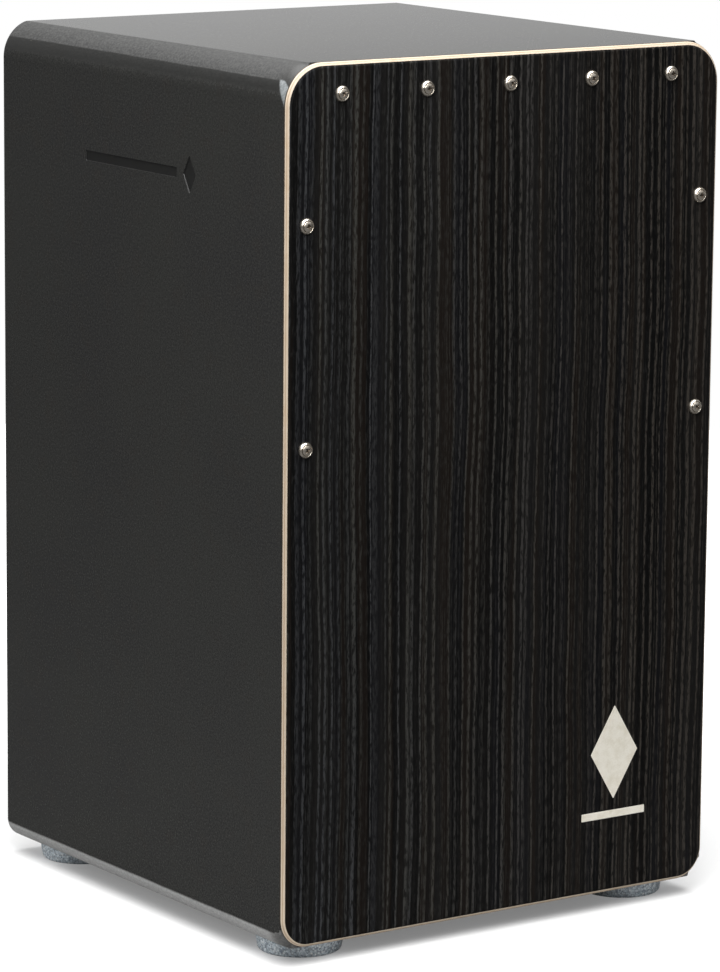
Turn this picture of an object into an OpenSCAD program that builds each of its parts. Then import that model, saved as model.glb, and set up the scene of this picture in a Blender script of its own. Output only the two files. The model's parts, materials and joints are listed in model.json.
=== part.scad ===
// Cajon: a box drum with a screwed front board and an adjustable snare unit.
// The board (tapa) faces -Y, the sound hole faces +Y, and the feet stand on Z = 0.

/* [Body] */
// Width of the box, side to side
body_w = 300; // [260:1:340]
// Depth of the box without the front board
body_d = 302; // [260:1:340]
// Height of the box without its feet
body_h = 497; // [460:1:520]
// Thickness of the side, seat and bottom panels
wall_t = 10; // [9.5:0.5:12]
// Radius of the rounded long edges beside the seat
edge_r = 22; // [18:1:22]
// Radius of the rounded long edges beside the bottom
edge_r_low = 12; // [10:1:22]
// How far the seat and bottom planes cut into the rounded edges
edge_cut = 1; // [0.5:0.5:2]
// Leg of the triangular glue blocks in the corners
block_leg = 22; // [16:1:26]

/* [Back panel] */
// Thickness of the back panel
back_t = 6; // [4:0.5:8]
// Width of the lip that frames the back panel
back_lip = 4; // [3.5:0.5:4]
// Radius of the sound hole
hole_r = 57.5; // [45:0.5:65]
// Height of the sound hole's centre above the floor
hole_z = 325; // [280:1:350]

/* [Front board] */
// Thickness of the plywood core
core_t = 2.5; // [2:0.1:4]
// Thickness of the face veneer
veneer_t = 0.5; // [0.4:0.1:0.8]
// Radius of the front board's upper corners
tapa_r = 24; // [20:1:26]
// Radius of the front board's lower corners
tapa_r_low = 18; // [12:1:26]
// Width of the rim bevel across the face
rim_w = 3.2; // [2:0.1:4]
// Depth of the rim bevel
rim_d = 2.6; // [1.5:0.1:2.8]
// Width of the battens behind the board's sides and bottom
batten_w = 15; // [14:1:20]
// Width of the batten behind the board's top edge
top_batten_w = 18; // [16:1:24]
// Depth of all battens
batten_d = 18; // [16:1:24]

/* [Front screws] */
// Number of screws in the top row
top_screws = 5; // [3:2:7]
// Spacing of the screws in the top row
top_pitch = 57; // [36:1:57]
// Distance of the top row below the top edge
top_row = 17.7; // [16:0.1:20]
// Distance of the side screws from the side edge
side_row = 13.3; // [13:0.1:16]
// Distance of the upper side screws below the top edge
side_upper = 89; // [60:1:120]
// Distance of the lower side screws below the top edge
side_lower = 213; // [160:1:280]
// Radius of the screw shanks
screw_r = 1.75; // [1.5:0.05:2]
// Length of the screws under the washer
screw_len = 18; // [16:1:19]
// Outer radius of the cup washers
cup_r = 4.6; // [4.5:0.1:6]
// Height of the cup washers
cup_h = 1.9; // [1.5:0.1:2.2]
// Height of the domed heads above the board
head_proud = 2.8; // [2.4:0.1:3.2]

/* [Mark] */
// Width of the plain lozenge on the front
mark_w = 34; // [20:1:40]
// Height of that lozenge
mark_h = 56; // [30:1:60]
// Width of the bar under it
mark_bar = 46; // [30:1:56]
// Distance of the front mark's centre from the board's right edge
mark_in = 68; // [50:1:90]
// Height of the front mark's centre above the board's lower edge
mark_up = 80; // [60:1:100]
// Length of the bar pressed into the left side
press_len = 98; // [60:1:120]
// Height of the lozenge pressed in beside that bar
press_h = 22; // [14:1:30]
// Depth of the pressed marks
press_depth = 0.6; // [0.4:0.1:1]

/* [Feet] */
// Radius of a foot at its top
foot_r = 25.5; // [18:0.5:27]
// Height of a foot
foot_h = 10.5; // [8:0.5:12]
// How much narrower the foot's radius is at its lower edge
foot_taper = 1.5; // [0.5:0.5:3]
// Distance of a foot's centre from the side of the box
foot_side_in = 35; // [30:0.5:45]
// Distance of a foot's centre from the front and back of the box
foot_end_in = 32; // [30:0.5:45]
// Radius of the recess for the foot's screw and washer
foot_recess_r = 9; // [9:0.5:12]
// Depth of that recess
foot_recess = 5.5; // [4.5:0.5:6]

/* [Snare unit] */
// Lean of the snare arm towards the front board, in degrees
lean = 5; // [4:0.5:6]
// Clearance between the wire tips and the board
snare_gap = 0.3; // [0.2:0.1:1]
// Height of the wire tips above the pivot, along the arm
tip_z = 425; // [380:1:428]
// Diameter of a coiled wire
wire_d = 2.2; // [1.8:0.1:2.4]
// Spacing of the coiled wires
wire_pitch = 4.2; // [4:0.1:4.4]
// Number of coiled wires on each clip
wire_count = 20; // [12:1:20]
// Height of the crossbar's lower edge above the pivot, along the arm
bar_z = 310; // [280:1:320]
// Width of the crossbar, side to side
bar_w = 210; // [208:1:230]
// Height of the crossbar
bar_h = 35; // [34:1:45]
// Thickness of the crossbar
bar_t = 10; // [8:1:14]
// Width of the upright slat
slat_w = 15.6; // [14:0.1:18]
// Thickness of the upright slat
slat_t = 14; // [12:1:16]

/* [Snare adjuster] */
// Height of the pivot above the bottom panel
pivot_up = 22; // [21:1:30]
// Distance of the adjusting bolt behind the pivot
lever = 40; // [36:1:50]
// Radius of the adjusting bolt
bolt_r = 3; // [2.5:0.5:3]
// Radius of the pivot pin
pin_r = 3; // [2.5:0.5:3]
// Thickness of the crank and bracket steel
plate_t = 2; // [1.5:0.5:2]

/* [Hidden] */
$fn = 96;
eps = 1;

// The box's planes: z_lo and z_hi are its underside and its seat, y_box and y_back its front and back
z_lo = foot_h;
z_hi = foot_h + body_h;
z_floor = z_lo + wall_t;
tapa_t = core_t + veneer_t;
total_d = head_proud + tapa_t + body_d;
y_face = head_proud - total_d / 2;
y_box = y_face + tapa_t;
y_back = y_box + body_d;
half_w = body_w / 2;
in_w = half_w - wall_t;

// Colours
mdf = [0.13, 0.14, 0.13];
ply = [0.85, 0.74, 0.55];
veneer = [0.11, 0.09, 0.08];
batten = [0.80, 0.66, 0.46];
cream = [0.92, 0.88, 0.78];
nickel = [0.78, 0.76, 0.72];
zinc = [0.62, 0.64, 0.66];
granulate = [0.33, 0.39, 0.45];
felt = [0.20, 0.20, 0.22];

// Places of the front screws, [x, z]
half_row = (top_screws - 1) / 2;
top_points = [for (i = [0 : top_screws - 1]) [(i - half_row) * top_pitch, z_hi - top_row]];
side_points = [for (s = [-1, 1]) for (d = [side_upper, side_lower]) [s * (half_w - side_row), z_hi - d]];
screw_points = concat(top_points, side_points);
cup_hole_r = 2.1;
cup_rim_r = 3.4;
cup_seat = 0.25;
clear_r = 2;

// The two marks
inlay_t = 0.15;
mark_bar_h = 4.5;
press_bar_h = 6;
press_y = 95;
press_down = 70;

// Places of the feet, [x, y]
foot_x = half_w - foot_side_in;
foot_y0 = y_box + foot_end_in;
foot_y1 = y_back - foot_end_in;
foot_hole_r = 2.5;
foot_round = 1.2;
foot_washer_t = 1.2;
foot_head_h = 2.4;
foot_screw_len = 14;
foot_pilot = foot_recess - foot_washer_t + foot_screw_len - foot_h;

// Snare arm, in a frame that has its origin on the pivot and leans with the slat
bar_back = slat_t / 2;
bar_front = bar_back + bar_t;
clip_t = 1;
lip_t = 0.8;
wire_back = bar_front + clip_t;
wire_front = wire_back + wire_d;
wire_z = bar_z + 11;
clip_w = (wire_count - 1) * wire_pitch + wire_d + 2;
clip_x = 57;
clip_screw_x = 30;
clip_screw_z = bar_z + 5;
clip_top = bar_z + 24;
felt_h = 9;
pivot_y = y_box + snare_gap + wire_front * cos(lean) + tip_z * sin(lean);
pivot_z = z_floor + pivot_up;
bolt_y = pivot_y + lever;

// Crank, bracket and pin
run_gap = 0.3;
crank_r = 8;
tail_r = 7;
crank_x = slat_w / 2;
crank_top = 60;
web_z = 16;
ear_x = crank_x + plate_t + run_gap;
ear_r = 9;
base_x = 34;
base_y = 16;
base_screw_x = 26;
base_screw_y = 9;
bracket_pilot = 8;
pin_x = ear_x + plate_t + 3;
clip_seat = 0.1;
clip_wide = 0.8;
groove_r = pin_r - 0.5;
slat_bolt_z = [28, 50];
slat_bolt_r = 2;

// Adjusting bolt and what it runs in
washer_t = 1;
washer_r = 6.25;
bolt_gap = 0.1;
recess_r = 7;
recess_h = 5.6;
bolt_head_h = 4;
bolt_head_r = 5;
socket_af = 4;
socket_deep = 2.4;
bolt_top = pivot_z + 14;
bolt_head_z = z_lo + recess_h - washer_t - bolt_gap - bolt_head_h;
collar_z = z_floor + washer_t + bolt_gap;
collar_h = 6;
collar_r = 7;
grub_r = 1.5;
trunnion_r = 6;
stud_r = 2.5;
stud_x = crank_x + plate_t + 1.4;
slot_play = 0.3;

// Draws a front-view outline, [x, z], as a slab from y0 back to y1
module slab(y0, y1) {
    translate([0, y1, 0]) rotate([90, 0, 0]) linear_extrude(y1 - y0) children();
}

// Draws a side-view outline, [y, z], as a bar from x0 to x1
module bar(x0, x1) {
    translate([x0, 0, 0]) rotate([90, 0, 90]) linear_extrude(x1 - x0) children();
}

// A round rod along Y, from y0 to y1
module rod_y(x, z, y0, y1, r) {
    translate([x, y0, z]) rotate([-90, 0, 0]) cylinder(h = y1 - y0, r = r);
}

// A cone along Y, from radius r0 at y0 to r1 at y1
module cone_y(x, z, y0, y1, r0, r1) {
    translate([x, y0, z]) rotate([-90, 0, 0]) cylinder(h = y1 - y0, r1 = r0, r2 = r1);
}

// A round rod along X, from x0 to x1
module rod_x(y, z, x0, x1, r) {
    translate([x0, y, z]) rotate([0, 90, 0]) cylinder(h = x1 - x0, r = r);
}

// A rectangle with round corners, centred: radius r at its top and r_low at its bottom
module round_rect(w, h, r, r_low) {
    translate([-w / 2, r_low - h / 2]) square([w, h - r - r_low]);
    translate([r - w / 2, 0]) square([w - 2 * r, h / 2]);
    translate([r_low - w / 2, -h / 2]) square([w - 2 * r_low, h / 2]);
    for (x = [r - w / 2, w / 2 - r]) translate([x, h / 2 - r]) circle(r);
    for (x = [r_low - w / 2, w / 2 - r_low]) translate([x, r_low - h / 2]) circle(r_low);
}

// Places a side-view or solid child on the leaning snare arm
module on_arm() {
    translate([0, pivot_y, pivot_z]) rotate([lean, 0, 0]) children();
}

// Box panels ------------------------------------------------------------------

module box_outline() {
    translate([0, (z_lo + z_hi) / 2]) intersection() {
        round_rect(body_w, body_h + 2 * edge_cut, edge_r, edge_r_low);
        square([body_w, body_h], center = true);
    }
}

module back_outline() {
    translate([0, (z_lo + z_hi) / 2]) round_rect(
        body_w - 2 * back_lip, body_h - 2 * back_lip, edge_r - back_lip, edge_r_low - back_lip
    );
}

// One mitred panel of the box, with the rebate for the back panel
module mitred_panel(points) {
    difference() {
        slab(y_box, y_back) intersection() {
            box_outline();
            polygon(points);
        }
        slab(y_back - back_t, y_back + eps) back_outline();
    }
}

module side_panel(s) {
    mitred_panel([
        [s * half_w, z_lo], [s * in_w, z_lo + wall_t],
        [s * in_w, z_hi - wall_t], [s * half_w, z_hi]
    ]);
}

module seat_panel() {
    color(mdf) mitred_panel([
        [-half_w, z_hi], [-in_w, z_hi - wall_t], [in_w, z_hi - wall_t], [half_w, z_hi]
    ]);
}

module bottom_panel() {
    color(mdf) difference() {
        mitred_panel([[-half_w, z_lo], [-in_w, z_floor], [in_w, z_floor], [half_w, z_lo]]);
        translate([0, bolt_y, z_lo - eps]) cylinder(h = recess_h + eps, r = recess_r);
        translate([0, bolt_y, z_lo]) cylinder(h = wall_t + eps, r = bolt_r + run_gap);
        for_feet() translate([0, 0, z_lo - eps]) cylinder(h = foot_pilot + eps, r = screw_r);
        for_bracket() translate([0, 0, z_floor - bracket_pilot])
            cylinder(h = bracket_pilot + eps, r = screw_r);
    }
}

// A lozenge about its centre
module lozenge(w, h) {
    polygon([[-w / 2, 0], [0, h / 2], [w / 2, 0], [0, -h / 2]]);
}

// The plain lozenge and bar pressed into the left side, [y, z] about the lozenge's centre
module pressed_outline() {
    lozenge(press_h * 0.6, press_h);
    translate([press_h * 0.6, -press_bar_h / 2]) square([press_len, press_bar_h]);
}

module left_side() {
    color(mdf) difference() {
        side_panel(-1);
        translate([0, y_box + press_y, z_hi - press_down])
            bar(-half_w - eps, -half_w + press_depth) pressed_outline();
    }
}

module right_side() {
    color(mdf) side_panel(1);
}

module corner_block(s, z, up) {
    color(batten) slab(y_box + batten_d, y_back - back_t) polygon([
        [s * in_w, z], [s * (in_w - block_leg), z], [s * in_w, z + up * block_leg]
    ]);
}

module back_panel() {
    color(mdf) slab(y_back - back_t, y_back) difference() {
        back_outline();
        translate([0, hole_z]) circle(hole_r);
    }
}

// Front board -----------------------------------------------------------------

// Pilot holes of the front screws
module screw_pilots() {
    for (p = screw_points) rod_y(p[0], p[1], y_box - eps, y_face + screw_len, screw_r);
}

module tapa_batten_top() {
    color(batten) difference() {
        slab(y_box, y_box + batten_d)
            translate([-in_w, z_hi - wall_t - top_batten_w]) square([2 * in_w, top_batten_w]);
        screw_pilots();
    }
}

module tapa_batten_bottom() {
    color(batten) slab(y_box, y_box + batten_d)
        translate([-in_w, z_floor]) square([2 * in_w, batten_w]);
}

module tapa_batten_side(s) {
    color(batten) difference() {
        slab(y_box, y_box + batten_d) translate([s * (in_w - batten_w / 2), 0])
            translate([-batten_w / 2, z_floor + batten_w])
            square([batten_w, z_hi - wall_t - top_batten_w - z_floor - batten_w]);
        screw_pilots();
    }
}

// How far the bevelled rim stands in from the outline at a depth behind the face
function rim_in(depth) = max(0, rim_w * (1 - depth / rim_d));

// A board with round corners whose outline stands in by i0 at y0 and by i1 at y1
module bevelled_board(y0, y1, i0, i1) {
    z_mid = (z_lo + z_hi) / 2;
    c0 = z_lo + tapa_r_low;
    c1 = z_hi - tapa_r;
    x0 = half_w - tapa_r_low;
    x1 = half_w - tapa_r;
    bar(-x0, x0) polygon([[y0, z_lo + i0], [y1, z_lo + i1], [y1, z_mid], [y0, z_mid]]);
    bar(-x1, x1) polygon([[y0, z_mid], [y1, z_mid], [y1, z_hi - i1], [y0, z_hi - i0]]);
    translate([0, 0, c0]) linear_extrude(c1 - c0)
        polygon([[-half_w + i0, y0], [half_w - i0, y0], [half_w - i1, y1], [-half_w + i1, y1]]);
    for (x = [-x0, x0]) cone_y(x, c0, y0, y1, tapa_r_low - i0, tapa_r_low - i1);
    for (x = [-x1, x1]) cone_y(x, c1, y0, y1, tapa_r - i0, tapa_r - i1);
}

module screw_clearances() {
    for (p = screw_points) rod_y(p[0], p[1], y_face - eps, y_box + eps, clear_r);
}

module tapa_core() {
    color(ply) difference() {
        union() {
            bevelled_board(y_face + veneer_t, y_face + rim_d, rim_in(veneer_t), 0);
            bevelled_board(y_face + rim_d, y_box, 0, 0);
        }
        screw_clearances();
    }
}

module tapa_veneer() {
    color(veneer) difference() {
        bevelled_board(y_face, y_face + veneer_t, rim_in(0), rim_in(veneer_t));
        screw_clearances();
    }
}

module front_inlay() {
    color(cream) slab(y_face - inlay_t, y_face) translate([half_w - mark_in, z_lo + mark_up]) {
        translate([0, mark_bar_h]) lozenge(mark_w, mark_h);
        translate([0, -mark_h / 2 - mark_bar_h]) square([mark_bar, mark_bar_h], center = true);
    }
}

// Turns an outline [r, height above the board] about each front screw's axis
module at_screws() {
    for (p = screw_points) translate([p[0], y_face, p[1]]) rotate([90, 0, 0]) children();
}

module tapa_washers() {
    color(nickel) at_screws() rotate_extrude() polygon([
        [cup_hole_r, 0], [cup_r, 0], [cup_r - 0.1, 0.5], [cup_r - 0.6, 1.4],
        [cup_rim_r + 0.4, cup_h], [cup_rim_r, cup_h], [cup_hole_r, cup_seat]
    ]);
}

// One wood screw with a raised head, its seat at the cup washer
module raised_screw() {
    dome = head_proud - cup_h;
    dome_r = (cup_rim_r * cup_rim_r + dome * dome) / (2 * dome);
    difference() {
        union() {
            translate([0, 0, cup_seat]) cylinder(h = cup_h - cup_seat, r1 = cup_hole_r, r2 = cup_rim_r);
            intersection() {
                translate([0, 0, head_proud - dome_r]) sphere(dome_r);
                translate([0, 0, cup_h]) cylinder(h = dome + eps, r = cup_rim_r);
            }
            translate([0, 0, -screw_len]) cylinder(h = screw_len + 0.5, r = screw_r);
        }
        for (a = [0, 90]) rotate([0, 0, a]) translate([-2.2, -0.4, head_proud - 1.6]) cube([4.4, 0.8, 2]);
    }
}

module tapa_screws() {
    color(nickel) at_screws() raised_screw();
}

// Feet ------------------------------------------------------------------------

module for_feet() {
    for (x = [-foot_x, foot_x]) for (y = [foot_y0, foot_y1]) translate([x, y, 0]) children();
}

module foot(x, y) {
    color(granulate) translate([x, y, 0]) difference() {
        rotate_extrude() polygon([
            [0, 0], [foot_r - foot_taper - foot_round, 0], [foot_r - foot_taper, foot_round],
            [foot_r, foot_h - foot_round], [foot_r - foot_round / 2, foot_h], [0, foot_h]
        ]);
        translate([0, 0, -eps]) cylinder(h = foot_recess + eps, r = foot_recess_r);
        cylinder(h = foot_h + eps, r = foot_hole_r);
    }
}

module foot_washers() {
    color(zinc) for_feet() translate([0, 0, foot_recess - foot_washer_t]) difference() {
        cylinder(h = foot_washer_t, r = foot_recess_r - 0.8);
        translate([0, 0, -eps]) cylinder(h = foot_washer_t + 2 * eps, r = clear_r + 0.1);
    }
}

module foot_screws() {
    seat = foot_recess - foot_washer_t;
    color(zinc) for_feet() difference() {
        union() {
            translate([0, 0, seat]) cylinder(h = foot_screw_len, r = screw_r);
            translate([0, 0, seat - foot_head_h]) cylinder(h = foot_head_h, r1 = 3, r2 = 3.8);
        }
        for (a = [0, 90]) rotate([0, 0, a])
            translate([-2.1, -0.4, seat - foot_head_h - eps]) cube([4.2, 0.8, 1.4 + eps]);
    }
}

// Snare adjuster --------------------------------------------------------------

module for_bracket() {
    for (x = [-base_screw_x, base_screw_x]) for (y = [-base_screw_y, base_screw_y])
        translate([x, pivot_y + y, 0]) children();
}

module snare_bracket() {
    color(zinc) difference() {
        union() {
            translate([-base_x, pivot_y - base_y, z_floor]) cube([2 * base_x, 2 * base_y, plate_t]);
            for (s = [-1, 1]) bar(min(s * ear_x, s * (ear_x + plate_t)), max(s * ear_x, s * (ear_x + plate_t))) {
                translate([pivot_y, pivot_z]) circle(ear_r);
                translate([pivot_y - ear_r, z_floor]) square([2 * ear_r, pivot_up]);
            }
        }
        rod_x(pivot_y, pivot_z, -pin_x, pin_x, pin_r + 0.02);
        for_bracket() translate([0, 0, z_floor - eps]) cylinder(h = plate_t + 2 * eps, r = clear_r);
    }
}

module bracket_screws() {
    color(zinc) for_bracket() translate([0, 0, z_floor + plate_t]) difference() {
        union() {
            cylinder(h = 2.2, r1 = 3.6, r2 = 2.8);
            translate([0, 0, -bracket_pilot - plate_t]) cylinder(h = bracket_pilot + plate_t, r = screw_r);
        }
        for (a = [0, 90]) rotate([0, 0, a]) translate([-2, -0.4, 0.9]) cube([4, 0.8, 2]);
    }
}

module pivot_pin() {
    color(zinc) difference() {
        rod_x(pivot_y, pivot_z, -pin_x, pin_x, pin_r);
        pin_rings(pin_r + eps);
    }
}

// Rings that fill the two grooves of the pivot pin
module pin_rings(r) {
    x0 = ear_x + plate_t + clip_seat;
    for (s = [-1, 1]) translate([s * (x0 + clip_wide / 2), pivot_y, pivot_z]) rotate([0, 90, 0])
        difference() {
            cylinder(h = clip_wide, r = r, center = true);
            cylinder(h = clip_wide + eps, r = groove_r, center = true);
        }
}

module pin_clips() {
    color(zinc) pin_rings(pin_r + 2.5);
}

module thrust_washers() {
    color(zinc) for (z = [z_lo + recess_h - washer_t, z_floor]) translate([0, bolt_y, z]) difference() {
        cylinder(h = washer_t, r = washer_r);
        translate([0, 0, -eps]) cylinder(h = washer_t + 2 * eps, r = bolt_r + 0.08);
    }
}

module adjuster_bolt() {
    color(zinc) translate([0, bolt_y, 0]) difference() {
        union() {
            translate([0, 0, bolt_head_z]) cylinder(h = bolt_head_h, r = bolt_head_r);
            translate([0, 0, bolt_head_z]) cylinder(h = bolt_top - bolt_head_z, r = bolt_r);
        }
        translate([0, 0, bolt_head_z - eps])
            cylinder(h = socket_deep + eps, d = socket_af / cos(30), $fn = 6);
    }
}

module adjuster_collar() {
    color(zinc) translate([0, bolt_y, collar_z]) difference() {
        cylinder(h = collar_h, r = collar_r);
        translate([0, 0, -eps]) cylinder(h = collar_h + 2 * eps, r = bolt_r);
        rod_y(0, collar_h / 2, 0, collar_r + eps, grub_r);
    }
}

module collar_grub_screw() {
    color(zinc) translate([0, bolt_y, collar_z]) difference() {
        rod_y(0, collar_h / 2, 0, collar_r, grub_r);
        translate([0, 0, -eps]) cylinder(h = collar_h + 2 * eps, r = bolt_r);
        translate([0, collar_r + eps, collar_h / 2]) rotate([90, 0, 0]) cylinder(h = 1 + eps, d = 1.7, $fn = 6);
    }
}

module trunnion_nut() {
    color(zinc) difference() {
        union() {
            rod_x(bolt_y, pivot_z, -crank_x + run_gap, crank_x - run_gap, trunnion_r);
            rod_x(bolt_y, pivot_z, -stud_x, stud_x, stud_r);
        }
        translate([0, bolt_y, pivot_z - trunnion_r - eps])
            cylinder(h = 2 * (trunnion_r + eps), r = bolt_r + 0.05);
    }
}

// Snare arm -------------------------------------------------------------------

// Side outline of one crank cheek, about the pivot
module cheek_outline() {
    difference() {
        union() {
            circle(crank_r);
            translate([lever, 0]) circle(tail_r);
            translate([0, -tail_r]) square([lever, 2 * tail_r]);
            rotate(lean) translate([-slat_t / 2, 0]) square([slat_t + plate_t, crank_top]);
        }
        circle(pin_r + 0.05);
        for (y = [-slot_play, slot_play]) translate([lever + y, 0]) circle(stud_r + 0.1);
        translate([lever - slot_play, -stud_r - 0.1]) square([2 * slot_play, 2 * stud_r + 0.2]);
        rotate(lean) for (z = slat_bolt_z) translate([0, z]) circle(slat_bolt_r);
    }
}

module snare_crank() {
    color(zinc) {
        translate([0, pivot_y, pivot_z]) {
            bar(-crank_x - plate_t, -crank_x) cheek_outline();
            bar(crank_x, crank_x + plate_t) cheek_outline();
        }
        on_arm() translate([-crank_x, slat_t / 2, web_z]) cube([2 * crank_x, plate_t, crank_top - web_z]);
    }
}

module snare_slat() {
    color(batten) on_arm() difference() {
        translate([-slat_w / 2, -slat_t / 2, web_z]) cube([slat_w, slat_t, bar_z + bar_h - web_z]);
        for (z = slat_bolt_z) rod_x(0, z, -slat_w, slat_w, slat_bolt_r);
        crossbar_screw_shanks();
    }
}

module slat_bolts() {
    cheek = crank_x + plate_t;
    color(zinc) on_arm() for (z = slat_bolt_z) difference() {
        union() {
            rod_x(0, z, -cheek - 3.5, cheek, slat_bolt_r);
            translate([cheek, 0, z]) rotate([0, 90, 0]) cylinder(h = 2.2, r1 = 3.8, r2 = 2.8);
        }
        translate([cheek + 0.8, 0, z]) rotate([0, 90, 0]) cylinder(h = 2, d = 2.9, $fn = 6);
    }
}

module slat_nuts() {
    cheek = crank_x + plate_t;
    color(zinc) on_arm() for (z = slat_bolt_z) translate([-cheek - 2.8, 0, z]) rotate([0, 90, 0])
        difference() {
            cylinder(h = 2.8, d = 8.1, $fn = 6);
            translate([0, 0, -eps]) cylinder(h = 2.8 + 2 * eps, r = slat_bolt_r);
        }
}

module crossbar_screw_shanks() {
    for (z = [bar_z + 9, bar_z + 26]) rod_y(0, z, -bar_front, slat_t / 2 - 2, screw_r);
}

// Countersunk heads of the crossbar screws
module crossbar_screw_heads() {
    for (z = [bar_z + 9, bar_z + 26]) translate([0, -bar_front, z]) rotate([-90, 0, 0])
        cylinder(h = 2, r1 = 3.5, r2 = screw_r);
}

module snare_crossbar() {
    color(batten) on_arm() difference() {
        translate([-bar_w / 2, -bar_front, bar_z]) cube([bar_w, bar_t, bar_h]);
        crossbar_screw_shanks();
        crossbar_screw_heads();
        clip_screw_shanks();
    }
}

module crossbar_screws() {
    color(zinc) on_arm() difference() {
        union() {
            crossbar_screw_shanks();
            crossbar_screw_heads();
        }
        for (z = [bar_z + 9, bar_z + 26]) for (a = [0, 90]) translate([0, -bar_front, z]) rotate([0, a, 0])
            translate([-1.9, -eps, -0.35]) cube([3.8, eps + 1.2, 0.7]);
    }
}

module clip_screw_shanks() {
    for (s = [-1, 1]) for (x = [-clip_screw_x, clip_screw_x])
        rod_y(s * clip_x + x, clip_screw_z, -wire_back, -bar_front + 8, 1.3);
}

module clip_screws() {
    color(zinc) on_arm() for (s = [-1, 1]) for (x = [-clip_screw_x, clip_screw_x])
        translate([s * clip_x + x, 0, clip_screw_z]) difference() {
            union() {
                rod_y(0, 0, -wire_back, -bar_front + 8, 1.3);
                translate([0, -wire_back, 0]) rotate([90, 0, 0]) cylinder(h = 1.4, r1 = 2.6, r2 = 1.9);
            }
            for (a = [0, 90]) rotate([0, a, 0]) translate([-1.4, -wire_back - 1.4 - eps, -0.3])
                cube([2.8, 0.8 + eps, 0.6]);
        }
}

// The clip is a strip folded up over the lower ends of its wires
module snare_clip(s) {
    lip = wire_front + lip_t;
    color(nickel) on_arm() difference() {
        bar(s * clip_x - clip_w / 2, s * clip_x + clip_w / 2) polygon([
            [-bar_front, bar_z + 1], [-bar_front, clip_top], [-wire_back, clip_top],
            [-wire_back, wire_z], [-wire_front, wire_z], [-wire_front, wire_z + 7],
            [-lip, wire_z + 7], [-lip, wire_z - 2], [-wire_back, wire_z - 2], [-wire_back, bar_z + 1]
        ]);
        clip_screw_shanks();
    }
}

module snare_wires(s) {
    half = (wire_count - 1) / 2;
    color(nickel) on_arm() for (i = [0 : wire_count - 1])
        translate([s * clip_x + (i - half) * wire_pitch, -wire_back - wire_d / 2, wire_z])
            cylinder(h = tip_z - wire_z, d = wire_d, $fn = 24);
}

module wire_felt() {
    color(felt) on_arm() translate([-bar_w / 2 + 4, -wire_back, bar_z + bar_h - felt_h - 1])
        cube([bar_w - 8, clip_t, felt_h]);
}

// Assembly --------------------------------------------------------------------

seat_panel();
bottom_panel();
left_side();
right_side();
corner_block(-1, z_hi - wall_t, -1);  // corner_block_top_left
corner_block(1, z_hi - wall_t, -1);  // corner_block_top_right
corner_block(-1, z_floor, 1);  // corner_block_bottom_left
corner_block(1, z_floor, 1);  // corner_block_bottom_right
tapa_batten_top();
tapa_batten_bottom();
tapa_batten_side(-1);  // tapa_batten_left
tapa_batten_side(1);  // tapa_batten_right
back_panel();
tapa_core();
tapa_veneer();
front_inlay();
tapa_washers();
tapa_screws();
foot(-foot_x, foot_y0);  // foot_front_left
foot(foot_x, foot_y0);  // foot_front_right
foot(-foot_x, foot_y1);  // foot_rear_left
foot(foot_x, foot_y1);  // foot_rear_right
foot_washers();
foot_screws();
snare_bracket();
bracket_screws();
pivot_pin();
pin_clips();
thrust_washers();
adjuster_bolt();
adjuster_collar();
collar_grub_screw();
trunnion_nut();
snare_crank();
snare_slat();
slat_bolts();
slat_nuts();
snare_crossbar();
crossbar_screws();
snare_clip(-1);  // snare_clip_left
snare_clip(1);  // snare_clip_right
clip_screws();
snare_wires(-1);  // snare_wires_left
snare_wires(1);  // snare_wires_right
wire_felt();
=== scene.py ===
"""Looks of the cajon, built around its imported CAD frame. Lengths are in metres, in the row frame."""

import json
import math
import random

import bmesh
import bpy
from mathutils import Matrix, Vector
from mathutils.geometry import tessellate_polygon

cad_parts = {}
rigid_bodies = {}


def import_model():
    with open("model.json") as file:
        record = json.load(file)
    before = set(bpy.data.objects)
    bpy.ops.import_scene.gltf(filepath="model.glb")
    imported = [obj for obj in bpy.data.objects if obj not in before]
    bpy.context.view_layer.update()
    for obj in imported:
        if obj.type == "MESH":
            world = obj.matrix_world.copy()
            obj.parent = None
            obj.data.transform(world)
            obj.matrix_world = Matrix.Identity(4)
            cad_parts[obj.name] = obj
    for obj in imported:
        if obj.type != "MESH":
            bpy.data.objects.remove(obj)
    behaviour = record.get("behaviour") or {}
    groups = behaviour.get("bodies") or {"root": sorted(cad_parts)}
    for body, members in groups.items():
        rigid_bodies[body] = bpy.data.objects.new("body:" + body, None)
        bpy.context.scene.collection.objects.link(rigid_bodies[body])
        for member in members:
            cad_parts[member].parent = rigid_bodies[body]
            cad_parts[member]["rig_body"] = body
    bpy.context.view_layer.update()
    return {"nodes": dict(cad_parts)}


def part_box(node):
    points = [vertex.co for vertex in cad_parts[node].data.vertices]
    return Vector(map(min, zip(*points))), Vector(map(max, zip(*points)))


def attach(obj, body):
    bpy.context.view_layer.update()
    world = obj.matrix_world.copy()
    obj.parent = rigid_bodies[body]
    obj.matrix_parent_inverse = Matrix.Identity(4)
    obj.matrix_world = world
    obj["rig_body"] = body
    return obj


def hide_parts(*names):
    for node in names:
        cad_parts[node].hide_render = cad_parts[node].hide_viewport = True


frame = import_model()
MM = 0.001
AXIS_X = Vector((1, 0, 0))
AXIS_Z = Vector((0, 0, 1))

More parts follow.
